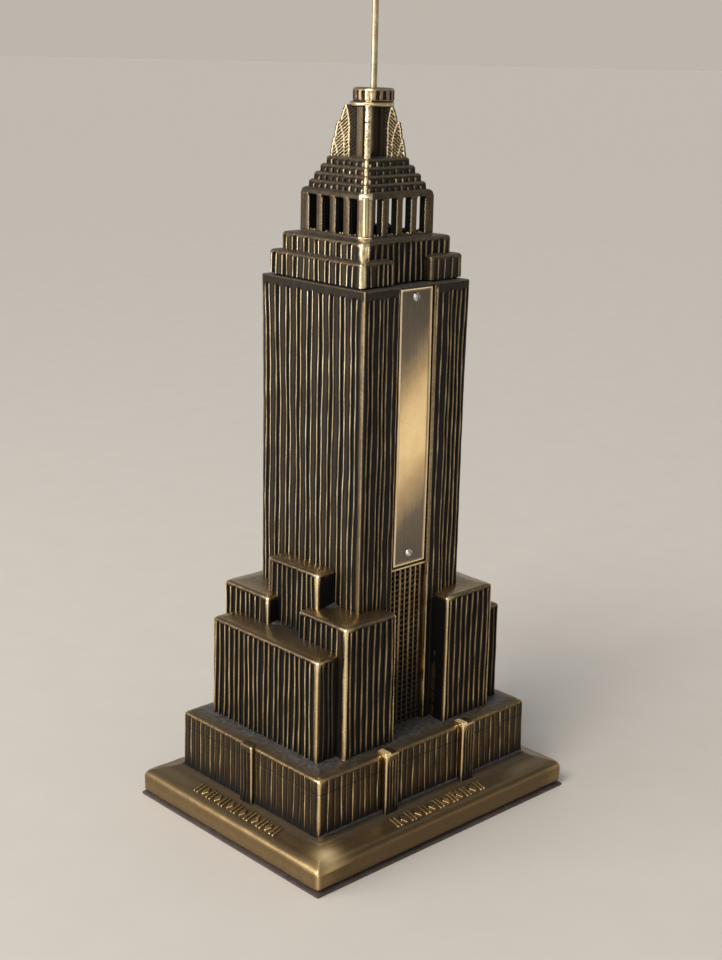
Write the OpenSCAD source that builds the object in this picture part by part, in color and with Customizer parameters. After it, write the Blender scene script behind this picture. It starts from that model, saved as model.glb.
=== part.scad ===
// Miniature tower: a hollow cast building with setbacks and ribbed walls,
// a lift-off cast head with open windows, a spire rod and a screwed-on plaque.
// Millimetres, +Z up, +X to the right along the plaque face, -Y towards the viewer of the plaque.
// The origin is at the middle of the underside.

/* [Plinth] */
// Width of the plinth, left to right
plinth_w = 184; // [178:1:190]
// Depth of the plinth, front to back
plinth_d = 145; // [140:1:150]
// Height of the plinth's shoulder above the table
plinth_shoulder_z = 15.5; // [14:0.5:17]
// Radius of the plinth's edges and corners
plinth_edge_r = 4; // [2:0.5:5]
// Thickness of the sheet that closes the underside
sheet_t = 2; // [1.5:0.1:2.5]
// How far that sheet shows past the casting
sheet_proud = 0.7; // [0:0.1:1]

/* [Podium] */
// Width of the podium
podium_w = 153; // [148:1:156]
// Depth of the podium
podium_d = 110.5; // [108:0.5:114]
// Height where the podium meets the plinth
podium_foot_z = 21; // [20:0.5:22]
// Height of the podium's top
podium_top_z = 51; // [48:0.5:54]
// How far the front and back pylons stand out
pylon_proud = 3.2; // [2:0.1:4]
// Width of a pylon
pylon_w = 9.5; // [7:0.5:11]
// Distance of the front pylons from the middle
pylon_x = 28.5; // [25:0.5:32]

/* [Setbacks] */
// Width of the side wings
wing_w = 133; // [128:1:136]
// Depth of the side wings
wing_d = 84.5; // [82:0.5:86]
// Height of the side wings' top
wing_top_z = 107; // [100:1:110]
// Width of the corner blocks
block_w = 107; // [104:1:110]
// Depth of the corner blocks
block_d = 96.5; // [94:0.5:99]
// Height of the corner blocks' top
block_top_z = 123; // [118:1:126]
// Width of the recess between the two front corner blocks
recess_w = 37; // [34:0.5:40]
// Width of the gap between the two corner blocks on each side
side_recess_w = 24; // [20:0.5:30]
// Width over the two inner side blocks
inner_w = 94.6; // [92:0.2:98]
// Depth of the inner side blocks
inner_d = 39.8; // [36:0.2:44]
// Height of the inner side blocks' top
inner_top_z = 142.4; // [136:0.2:148]

/* [Shaft] */
// Width of the shaft
shaft_w = 72; // [71:0.5:74]
// Depth of the shaft
shaft_d = 76.5; // [76:0.5:78]
// Height of the shaft's top
shaft_top_z = 288; // [280:1:300]
// Width of the bay that runs down the front and the back
bay_w = 26; // [25:0.5:28]
// Depth of that bay
bay_depth = 2.2; // [1.8:0.1:2.6]
// Wall thickness of both castings
wall = 3; // [2.5:0.1:3.5]

/* [Head] */
// Seam left between the shaft and the head
seam = 0.9; // [0.6:0.1:1.2]
// Width and depth of the lower head tier
head_low = [70.4, 68.6]; // [66:0.1:72]
// Width and depth of the upper head tier
head_high = [61.4, 60.3]; // [58:0.1:63]
// Height of the lower head tier
head_low_h = 12.1; // [10:0.1:14]
// Height of the upper head tier
head_high_h = 9; // [7:0.1:11]
// Width and depth of the window storey
crown = [47.4, 48]; // [46:0.1:49]
// Height of the window storey
crown_h = 22.6; // [20:0.1:25]
// Width of the facet filed on the window storey's two seam corners
crown_facet = 5.9; // [3:0.1:7]
// Wall thickness of the window storey
crown_wall = 4.4; // [3:0.1:4.6]
// Windows in each side of the window storey
windows = 4; // [3:1:4]
// Width of one window
window_w = 6.1; // [5:0.1:6.5]
// Sides of the four roof steps, from the lowest up
roof_sides = [42.5, 38.8, 34.4, 30]; // [28:0.1:44]
// Height of one roof step
roof_step_h = 3.85; // [3:0.05:4.5]
// Height of the mast between the roof and its flange
mast_h = 24.5; // [22:0.5:27]
// Radius of the drum on top of the mast
drum_r = 10.3; // [9:0.1:10.4]
// Height of the drum with its flange
drum_h = 8.7; // [7:0.1:10]
// How far the drum and the rod sit off the mast's axis, to the front right
drum_shift = 2.1; // [0:0.1:2.5]
// How far the locating skirt drops into the shaft
skirt_h = 8; // [6:0.5:10]
// Gap between that skirt and its hole, on each side
skirt_gap = 0.4; // [0.3:0.05:0.6]

/* [Spire] */
// Diameter of the spire rod
rod_d = 3.2; // [3:0.1:3.4]
// Length of rod that stands above the drum
rod_above = 64; // [50:1:80]

/* [Plaque] */
// Width of the plaque plate over its lips
plate_w = 22.5; // [20:0.1:23]
// Thickness of the plaque plate
plate_t = 0.8; // [0.6:0.1:1]
// Width of the lip around the plate
lip_w = 1.1; // [0.8:0.1:1.4]
// How far the lip stands in front of the plate
lip_h = 0.7; // [0.4:0.1:0.9]
// Height of the plaque plate's lower edge
plate_low_z = 143; // [140:0.5:146]
// Height of the lower plaque screw
screw_low_z = 149; // [148:0.5:152]
// Distance of the upper plaque screw below the shaft's top
screw_high_drop = 5.7; // [5:0.1:7]
// Head diameter of a plaque screw
screw_head_d = 4.9; // [4:0.1:5.2]

/* [Hidden] */
eps = 0.01;

bronze = [0.42, 0.33, 0.2];
bright_brass = [0.78, 0.64, 0.38];
nickel = [0.75, 0.74, 0.7];
fibre = [0.2, 0.13, 0.09];

rib_depth = 0.9;
rib_groove = 1.2;
tier_header = 3;

foot_lap = 1;
plinth_wall = 7;
pylon_back = 5;
pylon_rise = 0.6;
side_pylon_proud = 2;
deck_t = wall;
mouth = [56, 54];
bay_y = shaft_d / 2 - bay_depth;
plate_top_z = shaft_top_z - 1;
ledge_top_z = plate_low_z - 1;
ledge_h = 1.3;
screw_high_z = shaft_top_z - screw_high_drop;
screw_zs = [screw_low_z, screw_high_z];
screw_shank_r = 1.2;
screw_len = 7;

boss_inset = 13;
boss_x = plinth_w / 2 - boss_inset;
boss_y = plinth_d / 2 - boss_inset;
boss_r = 5;
base_screw_r = 1.4;
base_screw_head_r = 3;
base_screw_len = 11;

head_z = shaft_top_z + seam;
head_low_top = head_z + head_low_h;
head_high_top = head_low_top + head_high_h;
crown_top = head_high_top + crown_h;
roof_top = crown_top + 4 * roof_step_h;
mast_top = roof_top + mast_h;
drum_top = mast_top + drum_h;
mast_core = 13.3;
mast_reach = 18.9;
head_cavity = [51, 49];
ceiling_t = 2.7;
attic = 28;
attic_top = crown_top + 2 * roof_step_h + 0.7;
rod_r = rod_d / 2;
rod_clear = 0.03;
nut_af = 6.35;
nut_h = 3;
rod_low_z = attic_top - nut_h - 3;
drum_at = drum_shift * [sqrt(0.5), -sqrt(0.5), 0];
flange_at = 0.65 * drum_at;
flange_h = 2.2;
flange_lip = 0.7;

// A box centred on the Z axis, from one height to another
module block(w, d, z0, z1) {
    translate([-w / 2, -d / 2, z0]) cube([w, d, z1 - z0]);
}

// One side of a tier as seen from outside: n grooves between the corners,
// as [distance along the side, depth] pairs
function side_grooves(length, n, margin) = [
    for (i = [0 : n - 1])
        let (at = -length / 2 + margin + (i + 0.5) * (length - 2 * margin) / n)
        each [[at - rib_groove / 2, 0], [at - rib_groove / 2, rib_depth],
              [at + rib_groove / 2, rib_depth], [at + rib_groove / 2, 0]]
];

// The outline of a rectangular tier with nx grooves on the front and back and ny on the sides
function ribbed_outline(w, d, nx, ny, margin = 3) = concat(
    [[-w / 2, -d / 2]], [for (p = side_grooves(w, nx, margin)) [p[0], -d / 2 + p[1]]],
    [[w / 2, -d / 2]], [for (p = side_grooves(d, ny, margin)) [w / 2 - p[1], p[0]]],
    [[w / 2, d / 2]], [for (p = side_grooves(w, nx, margin)) [-p[0], d / 2 - p[1]]],
    [[-w / 2, d / 2]], [for (p = side_grooves(d, ny, margin)) [-w / 2 + p[1], -p[0]]]
);

// A tier with ribbed walls and a plain band at its top
module ribbed_tier(w, d, z0, z1, nx, ny, header = tier_header) {
    translate([0, 0, z0]) linear_extrude(z1 - header - z0) polygon(ribbed_outline(w, d, nx, ny));
    block(w, d, z1 - header, z1);
}

// A low hipped solid: four sloping sides between two rectangles
module hip(low, high, z0, z1) {
    intersection() {
        translate([0, low[1] / 2, 0]) rotate([90, 0, 0]) linear_extrude(low[1])
            polygon([[-low[0] / 2, z0], [low[0] / 2, z0], [high[0] / 2, z1], [-high[0] / 2, z1]]);
        translate([-low[0] / 2, 0, 0]) rotate([90, 0, 90]) linear_extrude(low[0])
            polygon([[-low[1] / 2, z0], [low[1] / 2, z0], [high[1] / 2, z1], [-high[1] / 2, z1]]);
    }
}

// A slab with rounded top edges and rounded upright corners
module soft_slab(w, d, z0, z1, r) {
    block(w - 2 * r, d, z0, z1 - r);
    block(w, d - 2 * r, z0, z1 - r);
    block(w - 2 * r, d - 2 * r, z0, z1);
    for (x = [-1, 1], y = [-1, 1])
        translate([x * (w / 2 - r), y * (d / 2 - r), z0]) cylinder(r = r, h = z1 - r - z0, $fn = 48);
    for (x = [-1, 1], y = [-1, 1])
        translate([x * (w / 2 - r), y * (d / 2 - r), z1 - r]) sphere(r = r, $fn = 48);
    for (y = [-1, 1])
        translate([-w / 2 + r, y * (d / 2 - r), z1 - r]) rotate([0, 90, 0])
            cylinder(r = r, h = w - 2 * r, $fn = 48);
    for (x = [-1, 1])
        translate([x * (w / 2 - r), -d / 2 + r, z1 - r]) rotate([-90, 0, 0])
            cylinder(r = r, h = d - 2 * r, $fn = 48);
}

// Both openings of the recess between the corner blocks, as solids to cut
module recess_cut(w, reach, z0, z1) {
    for (side = [-1, 1])
        translate([-w / 2, side > 0 ? reach : -block_d, z0]) cube([w, block_d - reach, z1 - z0]);
}

// The same between the corner blocks on the two sides
module side_cut(w, reach, z0, z1) {
    for (side = [-1, 1])
        translate([side > 0 ? reach : -block_w, -w / 2, z0]) cube([block_w - reach, w, z1 - z0]);
}

module pylons() {
    foot = podium_foot_z - foot_lap;
    tall = podium_top_z + pylon_rise - foot;
    for (x = [-pylon_x, pylon_x], side = [-1, 1])
        translate([x - pylon_w / 2, side > 0 ? podium_d / 2 - pylon_back : -podium_d / 2 - pylon_proud, foot])
            cube([pylon_w, pylon_back + pylon_proud, tall]);
    for (side = [-1, 1])
        translate([side > 0 ? podium_w / 2 - pylon_back : -podium_w / 2 - side_pylon_proud, -pylon_w / 2, foot])
            cube([pylon_back + side_pylon_proud, pylon_w, tall]);
}

// Everything of the tower's outside, filled solid
module tower_outside() {
    soft_slab(plinth_w, plinth_d, sheet_t, plinth_shoulder_z, plinth_edge_r);
    hip([plinth_w - 2 * plinth_edge_r, plinth_d - 2 * plinth_edge_r], [podium_w + 4, podium_d + 4],
        plinth_shoulder_z - eps, podium_foot_z);
    ribbed_tier(podium_w, podium_d, podium_foot_z - foot_lap, podium_top_z, 16, 14, 4);
    pylons();
    difference() {
        union() {
            ribbed_tier(wing_w, wing_d, podium_top_z - foot_lap, wing_top_z, 14, 10);
            ribbed_tier(block_w, block_d, podium_top_z - foot_lap, block_top_z, 12, 11);
        }
        recess_cut(recess_w, shaft_d / 2, podium_top_z, block_top_z + 1);
        side_cut(side_recess_w, inner_w / 2, wing_top_z, block_top_z + 1);
    }
    ribbed_tier(inner_w, inner_d, podium_top_z, inner_top_z, 8, 5);
    ribbed_tier(shaft_w, shaft_d, podium_top_z - foot_lap, shaft_top_z, 9, 9, 7);
}

module bay_cuts() {
    grid = 6;
    for (side = [0, 180]) rotate([0, 0, side]) {
        translate([-bay_w / 2, -shaft_d / 2 - 1, podium_top_z])
            cube([bay_w, bay_depth + 1, plate_top_z + 0.3 - podium_top_z]);
        grid_top = side == 0 ? ledge_top_z - ledge_h : plate_top_z - 1;
        for (i = [0 : grid - 1])
            translate([-bay_w / 2 + (i + 0.5) * bay_w / grid - 0.7, -bay_y - 1, podium_top_z + 1])
                cube([1.4, 1 + 0.6, grid_top - podium_top_z - 1]);
    }
}

// The hollow inside the tower, open at the underside and at the mouth
module tower_inside() {
    block(plinth_w - 2 * plinth_wall, plinth_d - 2 * plinth_wall, 0, plinth_shoulder_z);
    block(podium_w - 2 * wall, podium_d - 2 * wall, plinth_shoulder_z - 1, podium_top_z - wall);
    difference() {
        union() {
            block(wing_w - 2 * wall, wing_d - 2 * wall, podium_top_z - wall - 1, wing_top_z - wall);
            block(block_w - 2 * wall, block_d - 2 * wall, podium_top_z - wall - 1, block_top_z - wall);
        }
        recess_cut(recess_w + 2 * wall, bay_y - wall, podium_top_z - wall, block_top_z);
        side_cut(side_recess_w + 2 * wall, inner_w / 2 - wall, wing_top_z - wall - 1, block_top_z);
    }
    block(inner_w - 2 * wall, inner_d - 2 * wall, podium_top_z, inner_top_z - wall);
    difference() {
        block(shaft_w - 2 * wall, shaft_d - 2 * wall, podium_top_z, shaft_top_z - deck_t);
        recess_cut(bay_w + 2 * wall, bay_y - wall, podium_top_z - 1, shaft_top_z);
    }
    block(mouth[0], mouth[1], shaft_top_z - deck_t - 1, shaft_top_z + 1);
}

// The cast sill that the plaque stands on
module plaque_sill() {
    translate([-bay_w / 2, -bay_y - 1.2, ledge_top_z - ledge_h]) cube([bay_w, 1.7, ledge_h]);
}

module tower_casting() {
    color(bronze) difference() {
        union() {
            difference() {
                tower_outside();
                tower_inside();
                bay_cuts();
            }
            plaque_sill();
            for (z = screw_zs)
                translate([0, -bay_y + wall - 0.5, z]) rotate([-90, 0, 0])
                    cylinder(r = 4, h = 5.5, $fn = 48);
            for (x = [-boss_x, boss_x], y = [-boss_y, boss_y])
                translate([x, y, sheet_t]) cylinder(r = boss_r, h = plinth_shoulder_z + 1 - sheet_t, $fn = 48);
        }
        for (z = screw_zs)
            translate([0, -bay_y - 1, z]) rotate([-90, 0, 0])
                cylinder(r = screw_shank_r + rod_clear, h = screw_len + 0.5, $fn = 48);
        for (x = [-boss_x, boss_x], y = [-boss_y, boss_y])
            translate([x, y, 0]) cylinder(r = base_screw_r + rod_clear, h = base_screw_len + 1, $fn = 48);
    }
}

// The window storey's outline, with the mould's seam filed flat at the front left and the back right
module crown_outline() {
    w = crown[0] / 2;
    d = crown[1] / 2;
    c = crown_facet * sqrt(0.5);
    polygon([[-w + c, -d], [w, -d], [w, d - c], [w - c, d], [-w, d], [-w, -d + c]]);
}

// Windows: open on the front and both sides, and blind on the back
module window_cuts() {
    pitch = 9.9;
    blind = 2;
    sill = head_high_top + 1.4;
    for (i = [0 : windows - 1]) {
        at = (i - (windows - 1) / 2) * pitch - window_w / 2;
        for (turn = [-90, 0, 90]) rotate([0, 0, turn])
            translate([at, -crown[1], sill]) cube([window_w, crown[1], crown_h - 4.2]);
        translate([at, crown[1] / 2 - blind, sill]) cube([window_w, crown[1], crown_h - 4.2]);
    }
}

// One diagonal wing of the mast, in three falling lobes
module mast_fin() {
    fin_t = 3.6;
    rotate([0, 0, 45]) translate([0, fin_t / 2, 0]) rotate([90, 0, 0]) linear_extrude(fin_t)
        polygon([[0, roof_top - eps], [mast_reach, roof_top - eps], [mast_reach - 0.6, roof_top + 5],
                 [mast_reach - 1.5, roof_top + 9.1], [mast_reach - 2.1, roof_top + 9.3],
                 [mast_reach - 2.6, roof_top + 13.5], [mast_reach - 3.3, roof_top + 17.1],
                 [mast_reach - 4.6, roof_top + 17.3], [mast_reach - 5.4, roof_top + 20.5],
                 [mast_reach - 6.9, mast_top + eps], [0, mast_top + eps]]);
}

module mast() {
    block(mast_core, mast_core, roof_top - eps, mast_top + eps);
    for (turn = [0 : 90 : 270]) rotate([0, 0, turn]) mast_fin();
    translate(flange_at + [0, 0, mast_top]) cylinder(r = drum_r + flange_lip, h = flange_h, $fn = 72);
    translate(drum_at + [0, 0, mast_top]) cylinder(r = drum_r, h = drum_h, $fn = 72);
}

module head_casting() {
    notch_w = 25;
    pad = 5;
    pad_at = [31, 30];
    skirt = mouth - 2 * skirt_gap * [1, 1];
    color(bronze) difference() {
        union() {
            difference() {
                ribbed_tier(head_low[0], head_low[1], head_z, head_low_top, 8, 8, 2);
                for (side = [-1, 1])
                    translate([-notch_w / 2, side > 0 ? head_high[1] / 2 : -head_low[1], head_z - 1])
                        cube([notch_w, head_low[1] - head_high[1] / 2, head_low_h + 2]);
            }
            ribbed_tier(head_high[0], head_high[1], head_z, head_high_top, 7, 7, 1.6);
            translate([0, 0, head_high_top - eps]) linear_extrude(crown_h + eps) crown_outline();
            for (i = [0 : 3])
                block(roof_sides[i], roof_sides[i], crown_top + i * roof_step_h - eps,
                      crown_top + (i + 1) * roof_step_h);
            mast();
            block(skirt[0], skirt[1], shaft_top_z - skirt_h, head_z + 1);
            for (x = [-1, 1], y = [-1, 1])
                translate([x * pad_at[0] - pad / 2, y * pad_at[1] - pad / 2, shaft_top_z])
                    cube([pad, pad, seam + 1]);
        }
        block(head_cavity[0], head_cavity[1], shaft_top_z - skirt_h - 1, head_high_top - wall);
        block(crown[0] - 2 * crown_wall, crown[1] - 2 * crown_wall,
              head_high_top - wall - 1, crown_top - ceiling_t);
        block(attic, attic, crown_top - ceiling_t - 1, attic_top);
        window_cuts();
        translate(drum_at + [0, 0, attic_top - 1])
            cylinder(r = rod_r + rod_clear, h = drum_top - attic_top + 2, $fn = 48);
    }
}

module spire_rod() {
    top = drum_top + rod_above;
    color(bright_brass) {
        translate(drum_at + [0, 0, rod_low_z]) cylinder(r = rod_r, h = top - rod_r - rod_low_z, $fn = 48);
        translate(drum_at + [0, 0, top - rod_r]) sphere(r = rod_r, $fn = 48);
    }
}

module spire_nut() {
    color(bright_brass) translate(drum_at + [0, 0, attic_top - nut_h]) difference() {
        cylinder(d = nut_af / cos(30), h = nut_h, $fn = 6);
        translate([0, 0, -1]) cylinder(r = rod_r + rod_clear, h = nut_h + 2, $fn = 48);
    }
}

module plaque_plate() {
    plate_h = plate_top_z - plate_low_z;
    color(bright_brass) difference() {
        translate([-plate_w / 2, -bay_y - plate_t - lip_h, plate_low_z])
            cube([plate_w, plate_t + lip_h, plate_h]);
        translate([-plate_w / 2 + lip_w, -bay_y - plate_t - lip_h - 1, plate_low_z + lip_w])
            cube([plate_w - 2 * lip_w, lip_h + 1, plate_h - 2 * lip_w]);
        for (z = screw_zs)
            translate([0, -bay_y - plate_t - 1, z]) rotate([-90, 0, 0])
                cylinder(r = screw_shank_r + 0.2, h = plate_t + 2, $fn = 48);
    }
}

// A round-head screw that points along +Y, with its head's underside at the plate's face
module round_head_screw() {
    head_h = 1.9;
    ball_r = (pow(screw_head_d / 2, 2) + head_h * head_h) / (2 * head_h);
    difference() {
        intersection() {
            translate([0, ball_r - head_h, 0]) sphere(r = ball_r, $fn = 48);
            translate([-screw_head_d, -head_h - 1, -screw_head_d])
                cube([2 * screw_head_d, head_h + 1, 2 * screw_head_d]);
        }
        translate([-screw_head_d, -head_h - 1, -0.4]) cube([2 * screw_head_d, 1.7, 0.8]);
    }
    rotate([-90, 0, 0]) translate([0, 0, -eps]) cylinder(r = screw_shank_r, h = screw_len, $fn = 48);
}

module plaque_screws() {
    color(nickel) for (z = screw_zs)
        translate([0, -bay_y - plate_t, z]) round_head_screw();
}

module bottom_sheet() {
    color(fibre) difference() {
        block(plinth_w + 2 * sheet_proud, plinth_d + 2 * sheet_proud, 0, sheet_t);
        for (x = [-boss_x, boss_x], y = [-boss_y, boss_y]) translate([x, y, 0]) {
            translate([0, 0, -1]) cylinder(r = base_screw_r + 0.2, h = sheet_t + 2, $fn = 48);
            translate([0, 0, -eps])
                cylinder(r1 = base_screw_head_r + 0.1, r2 = base_screw_r + 0.1, h = 1.6, $fn = 48);
        }
    }
}

module bottom_screws() {
    color(nickel) for (x = [-boss_x, boss_x], y = [-boss_y, boss_y]) translate([x, y, 0.1]) {
        cylinder(r1 = base_screw_head_r - 0.1, r2 = base_screw_r, h = 1.4, $fn = 48);
        translate([0, 0, 1.4 - eps]) cylinder(r = base_screw_r, h = base_screw_len - 1.5, $fn = 48);
    }
}

tower_casting();
head_casting();
spire_rod();
spire_nut();
plaque_plate();
plaque_screws();
bottom_sheet();
bottom_screws();
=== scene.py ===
"""The cast model tower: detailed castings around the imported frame, materials, studio and camera."""
from collections import namedtuple
from math import cos, exp, pi, radians, sin, sqrt

import bpy
import numpy as np
from mathutils import Matrix, Vector, noise

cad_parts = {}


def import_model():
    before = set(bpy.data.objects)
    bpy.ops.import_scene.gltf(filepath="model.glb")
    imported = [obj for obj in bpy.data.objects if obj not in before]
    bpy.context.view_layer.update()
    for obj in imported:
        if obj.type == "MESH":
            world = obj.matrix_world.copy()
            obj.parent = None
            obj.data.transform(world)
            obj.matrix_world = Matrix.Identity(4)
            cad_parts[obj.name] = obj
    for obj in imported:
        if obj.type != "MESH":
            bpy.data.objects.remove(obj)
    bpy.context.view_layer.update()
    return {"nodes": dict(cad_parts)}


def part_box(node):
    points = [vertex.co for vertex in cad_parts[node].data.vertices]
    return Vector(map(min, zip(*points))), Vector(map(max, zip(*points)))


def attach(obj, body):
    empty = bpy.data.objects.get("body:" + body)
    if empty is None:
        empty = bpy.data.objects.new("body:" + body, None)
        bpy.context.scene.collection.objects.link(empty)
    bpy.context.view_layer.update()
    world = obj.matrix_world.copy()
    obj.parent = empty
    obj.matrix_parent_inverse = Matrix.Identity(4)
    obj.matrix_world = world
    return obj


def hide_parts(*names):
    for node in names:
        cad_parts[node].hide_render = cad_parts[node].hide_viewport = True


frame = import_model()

MM = 0.001
rng = np.random.default_rng(11)


def node_mm(node):
    """Lowest and highest corner of a CAD node, in millimetres."""
    low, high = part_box(node)
    return np.array(low) / MM, np.array(high) / MM


# ---------------------------------------------------------------- sizes, in millimetres

TOWER_HIGH = node_mm("tower_casting")[1]
HEAD_LOW, HEAD_HIGH = node_mm("head_casting")
PLATE_LOW, PLATE_HIGH = node_mm("plaque_plate")
SHEET_HIGH = node_mm("bottom_sheet")[1]

PLINTH = (TOWER_HIGH[0] * 2, TOWER_HIGH[1] * 2)
PLINTH_SHOULDER, PLINTH_EDGE, PLINTH_FOOT, PLINTH_SLOPE = 15.5, 5.0, 21.0, 0.27
PODIUM, PODIUM_TOP = (153.0, 110.5), 51.0
WING_X, WING_Y, WING_TOP = 66.5, 42.25, 107.0
BLOCK_X, BLOCK_Y, BLOCK_TOP = 53.5, 48.25, 123.0
RECESS_X, RECESS_Y = 18.5, 12.0
INNER_X, INNER_Y, INNER_TOP = 47.3, 19.9, 142.4
SHAFT, SHAFT_TOP = (72.0, 76.5), TOWER_HIGH[2]
MOUTH, DECK, HOLLOW = (56.0, 54.0), 3.0, (SHAFT[0] - 18, SHAFT[1] - 20)
BAY, BAY_DEPTH = 13.0, 4.7
SILL_TOP = PLATE_LOW[2] - 1.0
# Where the plaque's painted reflection lies, and how far it spreads.
REFLECTION_Z, REFLECTION_REACH = 203.0, 40.0
PYLON_X, PYLON_WIDTH, PYLON_OUT = 28.5, 9.5, 3.2
INSIDE = -30.0

HEAD_FOOT = SHAFT_TOP + 0.9
HEAD_REACH = (HEAD_HIGH[0] * 2, HEAD_HIGH[1] * 2)
UPPER, UPPER_TOP, LOWER_TOP = (61.4, 60.3), 310.0, 301.0
SKIRT, SKIRT_INSIDE = (55.2, 53.2), (51.0, 49.0)
CROWN, CROWN_TOP, FACET = (47.4, 48.0), 332.6, 4.17
CROWN_WALL, CROWN_ROUND = 4.4, 1.3
WINDOW, WINDOW_PITCH, WINDOW_SILL, WINDOW_HEAD = 6.1, 9.9, 311.4, 330.0
CROWN_SKIN, CROWN_EDGE, PIER = 1.2, 1.5 * WINDOW_PITCH + WINDOW / 2, (WINDOW_PITCH - WINDOW) / 2
CROWN_LOW, CROWN_HIGH = WINDOW_SILL - 0.5, WINDOW_HEAD + 0.3
# Tones of the insides of the window storey: painted black as shade in the hollow.
CROWN_SHADE = {"flat": -1.0, "edge": -0.9}
ROOF_SIDES, ROOF_STEP = (42.5, 38.8, 34.4, 30.0), 3.85
ROOF_TOP = CROWN_TOP + len(ROOF_SIDES) * ROOF_STEP
DRUM_R, DRUM_TOP = 10.3, HEAD_HIGH[2]
DRUM_AT, FLANGE_AT = (1.485, -1.485), (0.965, -0.965)
MAST_TOP, MAST_HALF = DRUM_TOP - 8.7, 6.65


# ---------------------------------------------------------------- lofted solids

class Shell:
    """Closed lofted solids in millimetres. Vertices have a tone: -1 patina, 0 plain wall, 1 worn; besides
    patina and wear, the tone carries painted shade and painted highlights.
    """

    def __init__(self):
        self.points, self.faces, self.count = [], [], 0

    def loft(self, rings, loop=False):
        """Joins rings of (x, y, z, tone), anticlockwise from above, and closes both ends or makes a loop."""
        rings = np.asarray(rings, float)
        rows, columns = rings.shape[:2]
        at = self.count + np.arange(rows * columns).reshape(rows, columns)
        low, high = (at, np.roll(at, -1, 0)) if loop else (at[:-1], at[1:])
        quads = np.stack([low, np.roll(low, -1, 1), np.roll(high, -1, 1), high], -1)
        self.faces += quads.reshape(-1, 4).tolist()
        if not loop:
            self.faces += [at[0, ::-1].tolist(), at[-1].tolist()]
        self.points.append(rings.reshape(-1, 4))
        self.count += rows * columns


# Row: a height up a wall, and the wall's size there. Column: a place across a wall, and its line's top.
Row = namedtuple("Row", "z w d relief tone edge shade", defaults=(0.0, 0.0, 1.0, 0.0))
Column = namedtuple("Column", "s relief tone head", defaults=(None,))


def ribs(lines, low, high, deep=0.8, narrow=3.9, pier=-0.3, dark=-1.0, bright=0.85, faint=1.0, wide=0.85):
    """Columns across a ribbed wall: a line at each place, worn bright and painted with a highlight, grooves
    beside it, and piers in the wide gaps, painted lighter on their left and darker on their right.
    """
    columns, raised = [], 0.14
    stops = [(low, False), *[(s, True) for s in lines], (high, False)]
    for i, ((a, line_a), (b, line_b)) in enumerate(zip(stops, stops[1:])):
        left = a + (0.6 if line_a else 0.4)
        right = b - (0.6 if line_b else 0.4)
        middle = (a + b) / 2
        if line_a and line_b and b - a < narrow:
            columns += [Column(left, -deep, dark * 0.8), Column(middle, -deep * 1.1, dark),
                        Column(right, -deep, dark * 0.9)]
        elif right - left > 2.2:
            # Painted light and shade: a wide pier is lighter by its left side and darker by its right, as
            # light from the left falls across it.
            columns += [Column(left, -deep * 0.45, dark * 0.55), Column(left + 0.7, -0.1, pier + 0.12),
                        Column(middle, 0.0, pier), Column(right - 0.7, -0.1, pier - 0.2),
                        Column(right, -deep * 0.7, dark * 0.9)]
        elif right - left > 0.3:
            columns += [Column(left, -deep * 0.6, dark * 0.8), Column(right, -deep * 0.6, dark * 0.8)]
        if line_b:
            # A line's bright tone is wear and a painted highlight on its ridge, falling off faster on the
            # right flank.
            tone = bright * rng.uniform(0.7, 1.1) * (faint if i % 2 else 1.0)
            columns += [Column(b - 0.4 * wide, raised * 0.3, tone * 0.4),
                        Column(b - 0.1 * wide, raised, tone), Column(b + 0.15 * wide, raised, tone * 0.95),
                        Column(b + 0.45 * wide, raised * 0.2, tone * 0.3 - 0.1)]
    return columns


def pairs(count, pitch, gap, middle=0.0, loose=0.22):
    """Places of count pairs of lines, pitch apart and gap wide, each line a little off as if cut by hand."""
    first = middle - (count - 1) / 2 * pitch
    places = [first + i * pitch + side * gap / 2 for i in range(count) for side in (-1, 1)]
    return [p + rng.uniform(-loose, loose) for p in places]


def plain(length, tone):
    """Five points along a plain wall."""
    return [Column(s * length, 0.0, tone) for s in (-0.4, -0.2, 0.0, 0.2, 0.4)]


def even(length, margin, pitch, tone=0.0):
    """Evenly spaced points along a smooth wall, so that it can bend."""
    places = np.linspace(margin - length / 2, length / 2 - margin, int(length / pitch))
    return [Column(s, 0.0, tone) for s in places]


# Tones of a corner's two ends and its middle: worn bright, and partly a painted highlight.
THIN, GOLD, SOFT = (-0.25, 0.25, 0.85), (0.45, 0.75, 1.0), (0.0, 0.1, 0.3)


def strip(length, width=3.0, tone=0.45):
    """The plain worn strip at the end of a ribbed wall, by the front left or back right corner."""
    end = length / 2
    return [Column(end - width - 0.2, -0.3, -0.6), Column(end - width + 0.1, 0.1, tone - 0.2),
            Column(end - width / 2 - 0.2, 0.12, tone)]


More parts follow.
